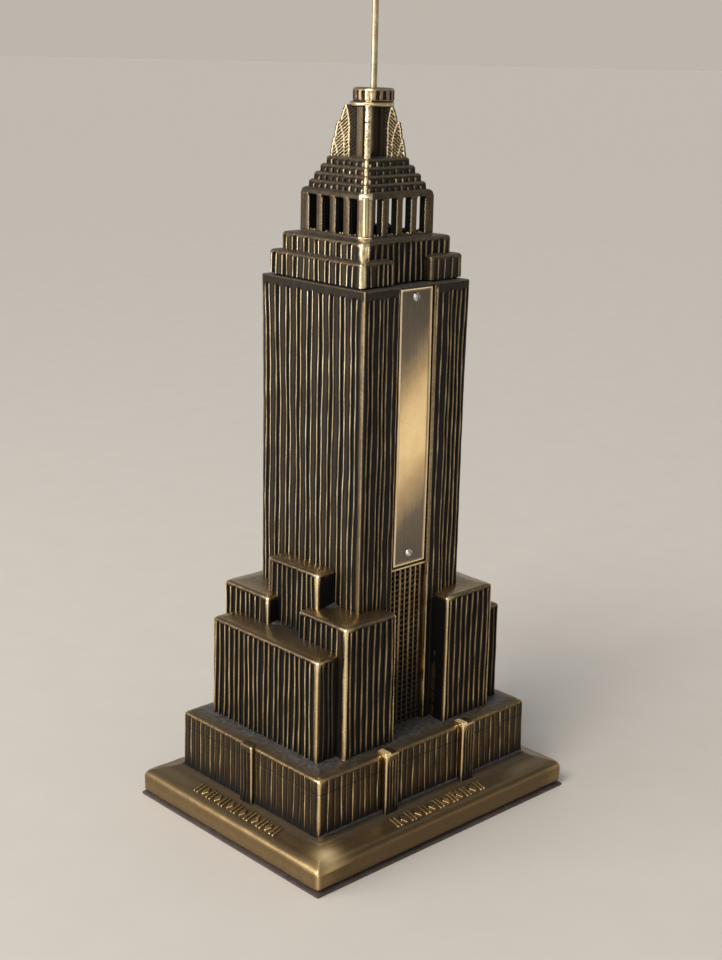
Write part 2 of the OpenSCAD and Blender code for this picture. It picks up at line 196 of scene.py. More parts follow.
def outline(w, d, sides, corner=1.3, worn=THIN, dull=()):
    """Base points round a rectangle, from its front left corner: x, y, outward normal, place, relief, tone,
    head, and 1 between a wall's ends. The sides numbered in dull are painted black right up to their
    corners, as painted shade on sides turned from the light and in recesses."""
    out = []
    for k in range(4):
        length, reach = ((w, d / 2), (d, w / 2))[k % 2]
        along = np.array([(1, 0), (0, 1), (-1, 0), (0, -1)][k], float)
        normal = np.array([along[1], -along[0]])
        end = length / 2 - corner
        columns = sorted(c for c in sides[k] if abs(c.s) < end - 0.15)
        if k in dull:
            columns = [Column(-end, 0.0, -0.6), Column(-end + 0.5, 0.0, -0.9), *columns,
                       Column(end - 0.5, 0.0, -0.9), Column(end, 0.0, -0.6)]
        else:
            columns = [Column(-end, 0.0, worn[0]), *columns, Column(end, 0.0, worn[0])]
        for i, c in enumerate(columns):
            p = along * c.s + normal * reach
            ribbed = 0 < i < len(columns) - 1
            out.append([*p, *normal, k * 977 + c.s, c.relief, c.tone, c.head or 0.0, float(ribbed)])
        centre = along * end + normal * (reach - corner)
        turns = [worn[1], worn[2], worn[1]]
        if k in dull:
            turns = [-0.4, 0.3, worn[2]]
        elif (k + 1) % 4 in dull:
            turns = [worn[2], 0.3, -0.4]
        for turn, tone in zip((22.5, 45, 67.5), turns):
            n = normal * cos(radians(turn)) + along * sin(radians(turn))
            out.append([*(centre + n * corner), *n, 0, 0, tone, 0.0, 0.0])
    return np.array(out)


def inset_rows(w, d, table):
    """Rows from a table of height, inset from the wall, tone and share of the corners' wear."""
    return [Row(z, w - 2 * inset, d - 2 * inset, tone=tone, edge=edge) for z, inset, tone, edge in table]


def wall_rows(w, d, z0, z1, header, step=3.6, rim=1.2, crown=0.8, foot=None, flare=0.0, top_tone=-0.02,
              rim_tone=0.28, band=0.0, fillet=0.7):
    """Rows up a wall, round its rim and in over its top, which rises by crown towards the middle."""
    def size(z, inset=0.0):
        wide = 2 * flare * (z1 - z) - 2 * inset
        if foot is not None:
            wide += 2 * fillet * exp(-max(z - foot, 0.0) / 0.6)
        return w + wide, d + wide

    ends = z1 - header
    heights = list(np.linspace(z0, ends - 1.0, max(2, int((ends - 1.0 - z0) / step) + 1)))
    if foot is not None:
        heights += [foot, foot + 0.4, foot + 0.9, foot + 1.8]
    heights += [ends - 0.55, ends - 0.15, ends + 0.25, ends + 0.7]
    heights = [z for z in sorted(heights) if z < z1 - rim - 0.15] + [z1 - rim]
    rows = []
    for z in heights:
        shade = 0.0 if foot is None else -0.8 * exp(-max(z - foot, 0.0) / 2.6)
        rows.append(Row(z, *size(z), relief=1.0, tone=band - 0.15, shade=shade))
    for turn in (25, 50, 70, 90):
        a = radians(turn)
        z = z1 - rim + rim * sin(a)
        worn = sin(2 * a) ** 2
        rows.append(Row(z, *size(z, rim * (1 - cos(a))), tone=band + (rim_tone - band) * worn))
    for inset, rise, tone in ((rim + 0.8, 0.12, top_tone + 0.12), (3.6, 0.5, top_tone + 0.04),
                              (9.0, 1.0, top_tone - 0.2)):
        if 2 * inset < min(w, d) - 2:
            rows.append(Row(z1 + crown * rise, *size(z1, inset), tone=tone, edge=0.0))
    return rows


def rings_of(base, w, d, rows, centre=(0.0, 0.0), head=None, fade=0.8, loose=1.0):
    """The rings of a ribbed wall. Each line ends near head, and wanders as it goes down."""
    x, y, nx, ny, s, relief, tone, own_head, ribbed = base.T
    place = np.round(s / 1.4)
    top = (head or 1e6) + 0.35 * np.sin(place * 7.13) + 0.25 * np.sin(place * 3.7)
    top = np.where(own_head > 0, own_head, top)
    rings = []
    for row in rows:
        shown = row.relief * np.clip((top - row.z) / fade, 0, 1)
        shown = np.where(own_head > 0, row.relief * (row.z < own_head + 0.01), shown)
        wander = (0.3 * np.sin(row.z / 21.0 + 0.12 * s + 1.0) + 0.2 * np.sin(row.z / 9.5 + 0.31 * s)
                  + 0.08 * np.sin(row.z / 4.1 + 1.3 * s))
        wander = wander * loose * shown * ribbed * (own_head == 0)
        px = x * row.w / w + nx * relief * shown - ny * wander + centre[0]
        py = y * row.d / d + ny * relief * shown + nx * wander + centre[1]
        flicker = 0.18 * np.sin(row.z / 5.3 + 2.1 * place) + 0.14 * np.sin(row.z / 2.3 + 1.7 * place) - 0.08
        lit = tone + np.where(tone > 0.2, flicker, 0.0) * ribbed
        t = np.where(ribbed > 0, lit * shown + row.tone * (1 - shown),
                     np.maximum(tone * row.edge, row.tone))
        rings.append(np.stack([px, py, np.full_like(px, row.z), t + row.shade], -1))
    return rings


def tier(shell, x, y, z, sides, header=3.0, corner=1.1, worn=THIN, blank=-0.15, loose=1.0, dull=(), **rows):
    """A closed box of a building: ribbed or plain walls, a plain band on top, and a soft rim."""
    w, d = x[1] - x[0], y[1] - y[0]
    # Plain sides darker than -0.5 are dull: painted black to their corners, as shade.
    dull = dull or [k for k, side in enumerate(sides) if not side and blank < -0.5]
    sides = [side if side else plain((w, d)[k % 2], blank) for k, side in enumerate(sides)]
    base = outline(w, d, sides, corner, worn, dull)
    made = wall_rows(w, d, z[0], z[1], header, **rows)
    centre = ((x[0] + x[1]) / 2, (y[0] + y[1]) / 2)
    shell.loft(rings_of(base, w, d, made, centre, head=z[1] - header, loose=loose))


def soft_polygon(corners, r=0.35, flat=0.0, edge=0.8):
    """A polygon's outline with each corner rounded off and worn."""
    corners = np.array(corners, float)
    out = []
    for i, p in enumerate(corners):
        before, after = corners[i - 1] - p, corners[(i + 1) % len(corners)] - p
        lb, la = np.linalg.norm(before), np.linalg.norm(after)
        u, v = before / lb, after / la
        for t, kind in ((min(3 * r, lb / 2.2), flat), (r, (flat + edge) / 2)):
            out.append([*(p + u * t), kind])
        out.append([*(p + (u + v) * 0.3 * r), edge])
        for t, kind in ((r, (flat + edge) / 2), (min(3 * r, la / 2.2), flat)):
            out.append([*(p + v * t), kind])
    return np.array(out)


def prism(shell, corners, z0, z1, flat=0.0, edge=0.8, r=0.35, top=None, slope=None):
    """A plain upright solid with softened, worn edges. slope(x, y) lifts it to follow a slanting ground."""
    ring = soft_polygon(corners, r, flat, edge)
    centre = ring[:, :2].mean(0)
    reach = np.abs(ring[:, :2] - centre).max(0)
    top = flat if top is None else top
    rings = []
    for z, inset, worn in ((z0, r, edge), (z0 + r, 0, edge * 0.6), (z0 + 3 * r, 0, None),
                           (z1 - 3 * r, 0, None), (z1 - r, 0, edge * 0.8), (z1 - 0.3 * r, 0.3 * r, edge),
                           (z1, r, (edge + top) / 2), (z1, 3 * r, top)):
        inset = min(inset, 0.4 * reach.min())
        at = centre + (ring[:, :2] - centre) * (1 - inset / reach)
        tone = ring[:, 2] if worn is None else np.maximum(ring[:, 2], worn)
        if inset > r:
            tone = np.full(len(ring), top)
        height = z + (slope(at[:, 0], at[:, 1]) if slope else np.zeros(len(ring)))
        rings.append(np.column_stack([at, height, tone]))
    shell.loft(rings)


def box(shell, x, y, z0, z1, **looks):
    """A prism on a rectangle."""
    prism(shell, [(x[0], y[0]), (x[1], y[0]), (x[1], y[1]), (x[0], y[1])], z0, z1, **looks)


def blob(shell, centre, radii, tone, around=6, up=4):
    """A small rounded lump."""
    rings = []
    for i in range(up):
        a = radians(-80 + 160 * i / (up - 1))
        turn = np.arange(around) / around * 2 * pi
        rings.append(np.stack([centre[0] + radii[0] * cos(a) * np.cos(turn),
                               centre[1] + radii[1] * cos(a) * np.sin(turn),
                               np.full(around, centre[2] + radii[2] * sin(a)),
                               np.full(around, tone)], -1))
    shell.loft(rings)


def lathe(shell, profile, around, centre, cut=None):
    """Turns (radius, z, tone) rows round an upright axis. cut(turn, z) is how deep the surface is cut in."""
    turn = np.arange(around) / around * 2 * pi
    rings = []
    for r, z, tone in profile:
        depth = np.array([cut(t, z) if cut else 0.0 for t in turn])
        rings.append(np.stack([centre[0] + (r - depth) * np.cos(turn),
                               centre[1] + (r - depth) * np.sin(turn), np.full(around, z),
                               np.where(depth > 0.1, tone - 0.85, tone)], -1))
    shell.loft(rings)


# ---------------------------------------------------------------- objects

def make_object(name, shell, material, sharp=58, wobble=0.0, tone_shift=None):
    """One mesh object from a shell, uneven by wobble as a sand casting is. tone_shift(points, tone, filed)
    changes the tones in place, painted highlights and shade among them, and says how far a place turns
    rough and less metallic: a filed place that has lost its plating, and a painted highlight patch."""
    points = np.concatenate(shell.points)
    mesh = bpy.data.meshes.new(name)
    mesh.from_pydata((points[:, :3] * MM).tolist(), [], shell.faces)
    mesh.shade_smooth()
    if wobble:
        normals = np.zeros(len(points) * 3)
        mesh.vertex_normals.foreach_get("vector", normals)
        push = np.array([noise.noise(Vector(p[:3]) / 9.0) + 0.5 * noise.noise(Vector(p[:3]) / 3.1)
                         for p in points])
        moved = points[:, :3] + normals.reshape(-1, 3) * (push * wobble)[:, None]
        mesh.vertices.foreach_set("co", (moved * MM).ravel())
    tone = points[:, 3].copy()
    filed = np.clip((tone - 1.0) * 2.5, 0, 1)
    if tone_shift:
        tone_shift(points, tone, filed)
    for key, values in (("tone", tone), ("filed", filed)):
        mesh.attributes.new(key, "FLOAT", "POINT").data.foreach_set("value", values)
    mesh.set_sharp_from_angle(angle=radians(sharp))
    mesh.materials.append(material)
    mesh.update()
    made = bpy.data.objects.new(name, mesh)
    bpy.context.scene.collection.objects.link(made)
    return made


# ---------------------------------------------------------------- materials

class Nodes:
    """A material's node tree, with a short way to add and join nodes."""

    def __init__(self, name="", tree=None):
        self.tree = tree
        if tree is None:
            self.material = bpy.data.materials.new(name)
            self.material.use_nodes = True
            self.tree = self.material.node_tree
            self.shader = self.tree.nodes["Principled BSDF"]

    def add(self, kind, values=None, **settings):
        node = self.tree.nodes.new(kind)
        for key, value in settings.items():
            setattr(node, key, value)
        for key, value in (values or {}).items():
            if isinstance(value, bpy.types.NodeSocket):
                self.tree.links.new(value, node.inputs[key])
            else:
                node.inputs[key].default_value = value
        return node

    def math(self, operation, a, b=0.0, clamp=False):
        return self.add("ShaderNodeMath", {0: a, 1: b}, operation=operation, use_clamp=clamp).outputs[0]

    def times(self, a, b):
        return self.math("MULTIPLY", a, b)

    def swing(self, pattern, amount):
        """A pattern that runs from 0 to 1, turned into one that swings about zero."""
        return self.times(self.math("SUBTRACT", pattern, 0.5), amount)

    def point_value(self, name):
        return self.add("ShaderNodeAttribute", attribute_name=name,
                        attribute_type="GEOMETRY").outputs["Fac"]

    def mix(self, factor, first, second, blend="MIX"):
        node = self.add("ShaderNodeMix", {0: factor, 6: first, 7: second}, data_type="RGBA",
                        blend_type=blend)
        return node.outputs[2]

    def noise(self, scale, detail=4.0, rough=0.55, stretch=(1, 1, 1)):
        where = self.add("ShaderNodeTexCoord").outputs["Object"]
        where = self.add("ShaderNodeMapping", {"Vector": where, "Scale": stretch}).outputs[0]
        values = {"Vector": where, "Scale": scale, "Detail": detail, "Roughness": rough}
        return self.add("ShaderNodeTexNoise", values).outputs["Fac"]

    def ramp(self, factor, stops):
        node = self.add("ShaderNodeValToRGB", {"Fac": factor})
        elements = node.color_ramp.elements
        while len(elements) < len(stops):
            elements.new(0.5)
        for element, (at, colour) in zip(elements, stops):
            element.position = at
            element.color = (*colour, 1.0) if len(colour) == 3 else colour
        return node.outputs["Color"]

    def grey(self, factor, stops):
        return self.ramp(factor, [(at, (v, v, v)) for at, v in stops])

    def bump(self, height, distance, strength=1.0, after=None):
        values = {"Height": height, "Distance": distance, "Strength": strength}
        if after is not None:
            values["Normal"] = after
        return self.add("ShaderNodeBump", values).outputs["Normal"]

    def surface(self, **sockets):
        for key, value in sockets.items():
            socket = self.shader.inputs[key.replace("_", " ")]
            if isinstance(value, bpy.types.NodeSocket):
                self.tree.links.new(value, socket)
            else:
                socket.default_value = value
        return self.material


def bronze_colour(n, worn, dust, place):
    """Black through brown to gold as the tone rises with wear and painted highlights, and falls with patina
    and painted shade; yellower towards the foot, and grey under dust.
    """
    colour = n.ramp(worn, [(0.0, (0.003, 0.003, 0.004)), (0.2, (0.011, 0.011, 0.012)),
                           (0.38, (0.044, 0.033, 0.022)), (0.56, (0.150, 0.109, 0.064)),
                           (0.74, (0.44, 0.34, 0.20)), (1.0, (0.93, 0.80, 0.54))])
    foot = n.ramp(place, [(0.06, (1.0, 0.91, 0.74)), (0.19, (1.0, 1.0, 1.0))])
    return n.mix(dust, n.mix(1.0, colour, foot, "MULTIPLY"), (0.21, 0.225, 0.23, 1))


def bronze_dust(n, worn):
    """Dust lies in specks where the metal faces up and its tone is low: not worn, and not painted as a
    highlight.
    """
    up = n.add("ShaderNodeSeparateXYZ", {0: n.add("ShaderNodeNewGeometry").outputs["Normal"]}).outputs["Z"]
    roof = n.grey(up, [(0.75, 0.0), (0.97, 1.0)])
    low = n.grey(worn, [(0.42, 1.0), (0.54, 0.35), (0.7, 0.0)])
    speck = n.grey(n.noise(420.0, 6.0, 0.75), [(0.32, 0.12), (0.66, 0.7)])
    return n.times(n.times(roof, low), speck)


def antique_bronze(name):
    """Bronze plating: black patina in grooves, brown walls, edges worn to gold, dust on the roofs, and the
    painted shade and painted highlights carried by the tone.
    """
    n = Nodes(name)
    place = n.add("ShaderNodeSeparateXYZ", {0: n.add("ShaderNodeTexCoord").outputs["Object"]}).outputs["Z"]
    cast = n.grey(place, [(0.019, 0.25), (0.022, 1.0)])
    cloud = n.noise(38.0, 3.0)
    grain = n.noise(900.0, 5.0, 0.7)
    streak = n.noise(420.0, 3.0, 0.6, stretch=(1, 1, 0.14))
    marks = n.swing(cloud, 0.16)
    for pattern, amount in ((grain, 0.3), (streak, 0.16)):
        marks = n.math("ADD", marks, n.swing(pattern, amount))
    # worn: the tone from 0 to 1; it holds patina and wear, and also painted shade and painted highlights.
    worn = n.math("ADD", n.times(n.point_value("tone"), 0.5), 0.5)
    worn = n.math("ADD", worn, n.times(marks, cast), clamp=True)
    dust = bronze_dust(n, worn)
    metal = n.times(n.grey(worn, [(0.0, 0.2), (0.35, 0.8), (0.6, 0.97), (1.0, 1.0)]),
                    n.math("SUBTRACT", 1.0, n.times(dust, 0.8)))
    rough = n.math("ADD", n.grey(worn, [(0.0, 0.55), (0.4, 0.40), (0.65, 0.31), (1.0, 0.26)]),
                   n.swing(grain, 0.2))
    rough = n.math("ADD", rough, n.times(dust, 0.3), clamp=True)
    # Filed places and painted highlight patches turn rougher and less metallic, so that their bright colour
    # shows.
    filed = n.point_value("filed")
    rough = n.math("ADD", rough, n.times(filed, 0.3), clamp=True)
    metal = n.math("SUBTRACT", metal, n.times(filed, 0.5), clamp=True)
    pits = n.bump(grain, 0.00022, n.times(cast, 0.5))
    return n.surface(Base_Color=bronze_colour(n, worn, dust, place), Metallic=metal, Roughness=rough,
                     Normal=n.bump(cloud, 0.0015, 0.05, after=pits), Specular_IOR_Level=0.2)


def brushed_brass(name):
    """Satin brass sheet, brushed along its length, bright on the lip, with a painted reflection across its
    middle that leaves both ends darker.
    """
    n = Nodes(name)
    brush = n.noise(900.0, 4.0, 0.6, stretch=(1, 1, 0.03))
    smudge = n.noise(55.0, 4.0, 0.6)
    # Brushing and smudges, with the tone, which holds the bright lip and the painted reflection.
    wear_and_reflection = n.math("ADD", n.math("ADD", n.swing(brush, 0.22), n.swing(smudge, 0.3)),
                  n.point_value("tone"), clamp=True)
    colour = n.ramp(wear_and_reflection, [(0.0, (0.085, 0.075, 0.063)), (0.35, (0.15, 0.125, 0.095)),
                           (0.62, (0.47, 0.345, 0.185)), (0.85, (0.78, 0.60, 0.34)),
                           (1.0, (0.93, 0.85, 0.70))])
    rough = n.grey(brush, [(0.2, 0.22), (0.8, 0.36)])
    return n.surface(Base_Color=colour, Metallic=1.0, Roughness=rough, Normal=n.bump(brush, 0.00006, 0.3))


def drawn_brass(name):
    """Spotted brass rod, with fine lines along its length."""
    n = Nodes(name)
    along = n.noise(1500.0, 3.0, 0.6, stretch=(1, 1, 0.02))
    spots = n.noise(220.0, 5.0, 0.65)
    mix = n.math("ADD", n.times(along, 0.5), n.times(spots, 0.5), clamp=True)
    colour = n.ramp(mix, [(0.3, (0.20, 0.15, 0.09)), (0.5, (0.44, 0.36, 0.24)), (0.7, (0.66, 0.57, 0.41))])
    return n.surface(Base_Color=colour, Metallic=1.0, Roughness=n.grey(spots, [(0.3, 0.26), (0.7, 0.42)]),
                     Normal=n.bump(along, 0.00005, 0.4))


def plated_steel(name):
    """Bright steel, dull in spots."""
    n = Nodes(name)
    spots = n.noise(900.0, 4.0, 0.6)
    colour = n.ramp(spots, [(0.3, (0.42, 0.40, 0.36)), (0.6, (0.78, 0.77, 0.73))])
    return n.surface(Base_Color=colour, Metallic=1.0, Roughness=n.grey(spots, [(0.3, 0.34), (0.7, 0.2)]),
                     Normal=n.bump(spots, 0.00006, 0.4))


def fibre_board(name):
    """Dark brown pressed fibre."""
    n = Nodes(name)
    fibres = n.noise(650.0, 6.0, 0.7, stretch=(1, 0.35, 1))
    blotch = n.noise(70.0, 4.0)
    mix = n.math("ADD", n.times(fibres, 0.6), n.times(blotch, 0.4), clamp=True)
    colour = n.ramp(mix, [(0.3, (0.02, 0.014, 0.012)), (0.55, (0.07, 0.048, 0.038)),
                          (0.8, (0.17, 0.125, 0.10))])
    return n.surface(Base_Color=colour, Metallic=0.0, Roughness=n.grey(fibres, [(0.3, 0.55), (0.7, 0.8)]),
                     Normal=n.bump(fibres, 0.0002, 0.6))


# ---------------------------------------------------------------- tower casting

def build_plinth(shell):
    """The smooth base: a straight skirt, a round shoulder, then a gentle slope with a low ridge in it."""
    w, d = PLINTH
    sides = [even(length, 3, 2.5, 0.3) for length in (w, d, w, d)]
    base = outline(w, d, sides, corner=1.8, worn=(0.32, 0.45, 0.85))
    low, start = SHEET_HIGH[2], PLINTH_SHOULDER - PLINTH_EDGE
    ridge = PLINTH_SHOULDER + PLINTH_SLOPE * 8
    # The first rows, under the skirt's lower edge, are painted black as shade in the gap over the sheet; the
    # last rows darken towards the podium's foot as painted shade in the crease.
    table = [(low + 0.5, 2.2, -1, 0.0), (low + 0.4, 1.2, -0.9, 0.0), (low + 0.6, 0.4, -0.2, 1.0),
             (low + 1.4, 0.1, 0.2, 1.0), (low + 4.5, 0.0, 0.25, 1.0), (start, 0.0, 0.2, 1.0)]
    for turn in (12, 24, 36, 48, 60, 72, 84):
        a = radians(turn)
        table.append((start + PLINTH_EDGE * sin(a), PLINTH_EDGE * (1 - cos(a)), 0.22 - 0.02 * sin(2 * a),
                      0.8))
    for inset, tone, edge in ((2, 0.28, 0.3), (3.5, 0.26, 0.0), (5, 0.21, 0.0)):
        table.append((PLINTH_SHOULDER + PLINTH_SLOPE * inset, PLINTH_EDGE + inset, tone, edge))
    table += [(ridge, PLINTH_EDGE + 7.6, 0.02, 0.0), (ridge + 0.7, PLINTH_EDGE + 8.3, 0.16, 0.0),
              (ridge + 1.0, PLINTH_EDGE + 9.2, -0.02, 0.0), (PLINTH_FOOT - 1.2, 15.2, -0.2, 0.0),
              (PLINTH_FOOT - 0.2, 16.6, -0.6, 0.0), (PLINTH_FOOT + 0.2, 18.0, -0.9, 0.0)]
    rows = inset_rows(w, d, table)
    rings = np.array(rings_of(base, w, d, rows))
    lift = np.where(rings[..., 1] < -d / 2 + 3, 0.55, 0.0)
    rings[:4, :, 2] += lift[:4] * np.array([1.0, 1.0, 1.0, 0.7])[:, None]
    shell.loft(rings)


def ornament(shell):
    """A plain raised frieze of bars and diamonds on the plinth's slope, in the middle of all four sides."""
    for side in range(4):
        half = PLINTH[1 - side % 2] / 2
        reach = half - PLINTH_EDGE - 2.9
        turn = Matrix.Rotation(radians(90 * side), 2)
        out = turn @ Vector((0, -1))
        slope = lambda x, y: PLINTH_SLOPE * (half - PLINTH_EDGE - (x * out[0] + y * out[1]))
        for i in range(-6, 7):
            s = i * 5.2
            if i % 2:
                marks = [[(s, -reach - 3.1), (s + 1.9, -reach), (s, -reach + 3.1), (s - 1.9, -reach)]]
            else:
                marks = [[(s + a - 0.6, -reach - 3.5), (s + a + 0.6, -reach - 3.5),
                          (s + a + 0.6, -reach + 3.5), (s + a - 0.6, -reach + 3.5)] for a in (-1.25, 1.25)]
            for corners in marks:
                corners = [tuple(turn @ Vector(c)) for c in corners]
                prism(shell, corners, PLINTH_SHOULDER - 2.5, PLINTH_SHOULDER + 0.85, flat=0.2, edge=0.75,
                      r=0.24, top=0.55, slope=slope)


def build_podium(shell):
    """The lowest storey, with many fine lines and a shallow joint near its top."""
    w, d = PODIUM
    sides = [ribs(pairs(int(length / 8.6), 8.5, 4.2, loose=0.5), -length / 2 + 1.5, length / 2 - 1.5,
                  deep=0.5, narrow=2.0, pier=-0.28, dark=-0.7, bright=0.8, faint=0.25)
             for length in (w, d, w, d)]
    base = outline(w, d, sides, 1.5, (0.1, 0.5, 1.0))
    rows = wall_rows(w, d, PLINTH_FOOT - 2, PODIUM_TOP, header=1.6, rim=1.8, crown=1.6, foot=PLINTH_FOOT,
                     flare=0.012, step=2.4, rim_tone=0.25, band=0.0, fillet=0.15)
    for z, inset, shade in ((42.3, 0.0, 0.0), (42.6, 0.1, -0.25), (42.9, 0.1, -0.25), (43.2, 0.0, 0.0)):
        flare = 0.024 * (PODIUM_TOP - z)
        rows.append(Row(z, w + flare - 2 * inset, d + flare - 2 * inset, relief=1.0, tone=0.0, shade=shade))
    wall = sorted((r for r in rows if r.relief), key=lambda r: r.z)
    rows = wall + [r for r in rows if not r.relief]
    shell.loft(rings_of(base, w, d, rows, head=PODIUM_TOP - 1.6))


def build_pylons(shell):
    """Small piers on the podium's walls, two each at front and back with a gold cap, and one at each end."""
    half, reach, foot = PYLON_WIDTH / 2, PODIUM[1] / 2, PLINTH_FOOT - 4
    lines = {"deep": 0.5, "pier": -0.4, "bright": 0.3}
    looks = {"header": 3.2, "rim": 1.1, "foot": PLINTH_FOOT, "corner": 0.9, "step": 4, "loose": 0.5,
             "fillet": 0.15}
    cap, cap_near, cap_far = 3.8, 51.5, 58.1
    for x in (-PYLON_X, PYLON_X):
        for side in (-1, 1):
            y = sorted((side * (reach + PYLON_OUT), side * (reach - 5)))
            fine = ribs([-2.0, 0.1, 2.2], -half + 1.0, half - 1.0, **lines)
            tier(shell, (x - half, x + half), y, (foot, PODIUM_TOP + 0.9), [fine, [], fine, []], crown=0.5,
                 worn=(0.2, 0.8, 1.0), top_tone=0.25, rim_tone=0.7, blank=0.0, **looks)
            edge = x + side * (half - 0.1)
            inner = edge - side * cap
            corners = [(inner, side * cap_far), (inner, side * cap_near), (edge, side * cap_near),
                       (edge, side * cap_far)]
            prism(shell, corners, PODIUM_TOP - 1.0, PODIUM_TOP + 1.9, flat=0.9, edge=1.2, r=0.5, top=1.4)
    for side in (-1, 1):
        x = sorted((side * (PODIUM[0] / 2 + 2), side * (PODIUM[0] / 2 - 5)))
        fine = ribs([-1.6, 1.0], -half + 1.0, half - 1.0, **lines)
        tier(shell, x, (-half, half), (foot, PODIUM_TOP + 0.3), [[], fine, [], fine], crown=0.4,
             worn=(0.2, 0.6, 0.95), top_tone=0.0, **looks)


def nook(shell, x, y, z, dx, dy, rise):
    """A small cast fillet in the inner corner of two walls and the roof under them, full of dust."""
    low, high = [], []
    steps = 5
    for i in range(steps + 1):
        a = pi / 2 * i / steps
        shrink = 1 - 0.3 * sin(2 * a)
        low.append((x + dx * cos(a) * shrink, y + dy * sin(a) * shrink, z, -0.35))
        high.append((x + dx * 0.12 * cos(a), y + dy * 0.12 * sin(a), z + rise, 0.1))
    middle = [(p[0] * 0.55 + q[0] * 0.45, p[1] * 0.55 + q[1] * 0.45, z + rise * 0.22, -0.2)
              for p, q in zip(low, high)]
    rings = [[(x, y, ring[0][2], -0.5), *ring] for ring in (low, middle, high)]
    if dx * dy < 0:  # turned over, so the ring would run clockwise
        rings = [ring[::-1] for ring in rings]
    shell.loft(rings)


def build_nooks(shell):
    """The fillets, the same after half a turn of the tower."""
    podium, wing, block = PODIUM_TOP + 0.6, WING_TOP + 0.8, BLOCK_TOP + 0.8
    for x, y, z, dx, dy, rise in (
        (-BLOCK_X, -WING_Y, podium, -8.5, -6.0, 1.6), (RECESS_X, -38.25, podium, -12.0, -9.0, 1.8),
        (-RECESS_X, -38.25, podium, 6.0, -6.0, 1.2), (-INNER_X, -12.0, wing, -6.5, 3.5, 1.0),
        (-INNER_X, 12.0, wing, -8.5, -5.5, 1.4), (-36.0, -INNER_Y, block, -8.0, -6.0, 1.8),
        (-36.0, INNER_Y, block, -7.0, 5.0, 1.4), (-WING_X, 4.75, podium, -6.0, 6.0, 1.6),
        (-WING_X, -4.75, podium, -6.0, -4.0, 1.0)):
        for turn in (1, -1):
            nook(shell, turn * x, turn * y, z, turn * dx, turn * dy, rise)


def build_setbacks(shell):
    """Wings, corner blocks and inner blocks. Ribs leave a plain strip at the front left and back right."""
    def flank(count, length, middle=-2.0, **looks):
        lines = pairs(count, 8.05, 3.6, middle)
        return ribs(lines, -length / 2 + 1.0, length / 2 - 3.4, **looks) + strip(length)

    foot = PODIUM_TOP + 0.6
    for side in (-1, 1):
        at = 1 if side > 0 else 3
        x = sorted((side * WING_X, side * RECESS_X))
        length = x[1] - x[0]
        # Painted light and shade: the lines of the outer left and right sides are bright, while the wings'
        # narrow front and back faces have black piers and dark lines and are dull, painted black to their
        # corners as shade.
        narrow = lambda turn: ribs(sorted(turn * side * s for s in (20.2, 16.6, 14.0)), -length / 2 + 1.3,
                                   length / 2 - 1.3, pier=-0.95, bright=-0.1)
        sides = [narrow(1), [], narrow(-1), []]
        sides[at] = flank(10, 2 * WING_Y, narrow=6.0, deep=0.95, bright=0.9)
        tier(shell, x, (-WING_Y, WING_Y), (PODIUM_TOP - 2, WING_TOP), sides, header=1.6, rim=1.4,
             crown=1.0, foot=foot, corner=1.4, worn=GOLD, flare=0.006, top_tone=0.28, dull=(0, 2))
        for end in (-1, 1):
            x = sorted((side * BLOCK_X, side * RECESS_X))
            y = sorted((end * BLOCK_Y, end * RECESS_Y))
            # The blocks' front and back lines are painted dimmer than their side lines, and their plain
            # faces black, as painted shade.
            faces = [ribs(pairs(4, 8.2, 3.8), -16.2, 16.2, narrow=6.0, deep=0.85, bright=0.5, pier=-0.4)
                     if end == (-1, 0, 1, 0)[k] else [] for k in range(4)]
            faces[at] = flank(4, 36.25, middle=-2.8, narrow=6.0, deep=0.9, bright=0.9)
            tier(shell, x, y, (PODIUM_TOP - 2, BLOCK_TOP), faces, header=1.8, rim=1.3, crown=1.0, foot=foot,
                 corner=1.3, worn=GOLD, flare=0.004, blank=-0.9, top_tone=0.46)
        x = sorted((side * INNER_X, side * 30.0))
        sides = [[], [], [], []]
        places = [-16.1 + 3.85 * i + rng.uniform(-0.2, 0.2) for i in range(9)]
        sides[at] = ribs(places, -18.9, 16.2, narrow=6.0, deep=0.85, bright=0.75) + strip(2 * INNER_Y)
        tier(shell, x, (-INNER_Y, INNER_Y), (WING_TOP - 4, INNER_TOP), sides, header=1.6, rim=1.3,
             crown=0.8, foot=WING_TOP + 1, corner=1.3, worn=GOLD, blank=-0.9, top_tone=0.32)


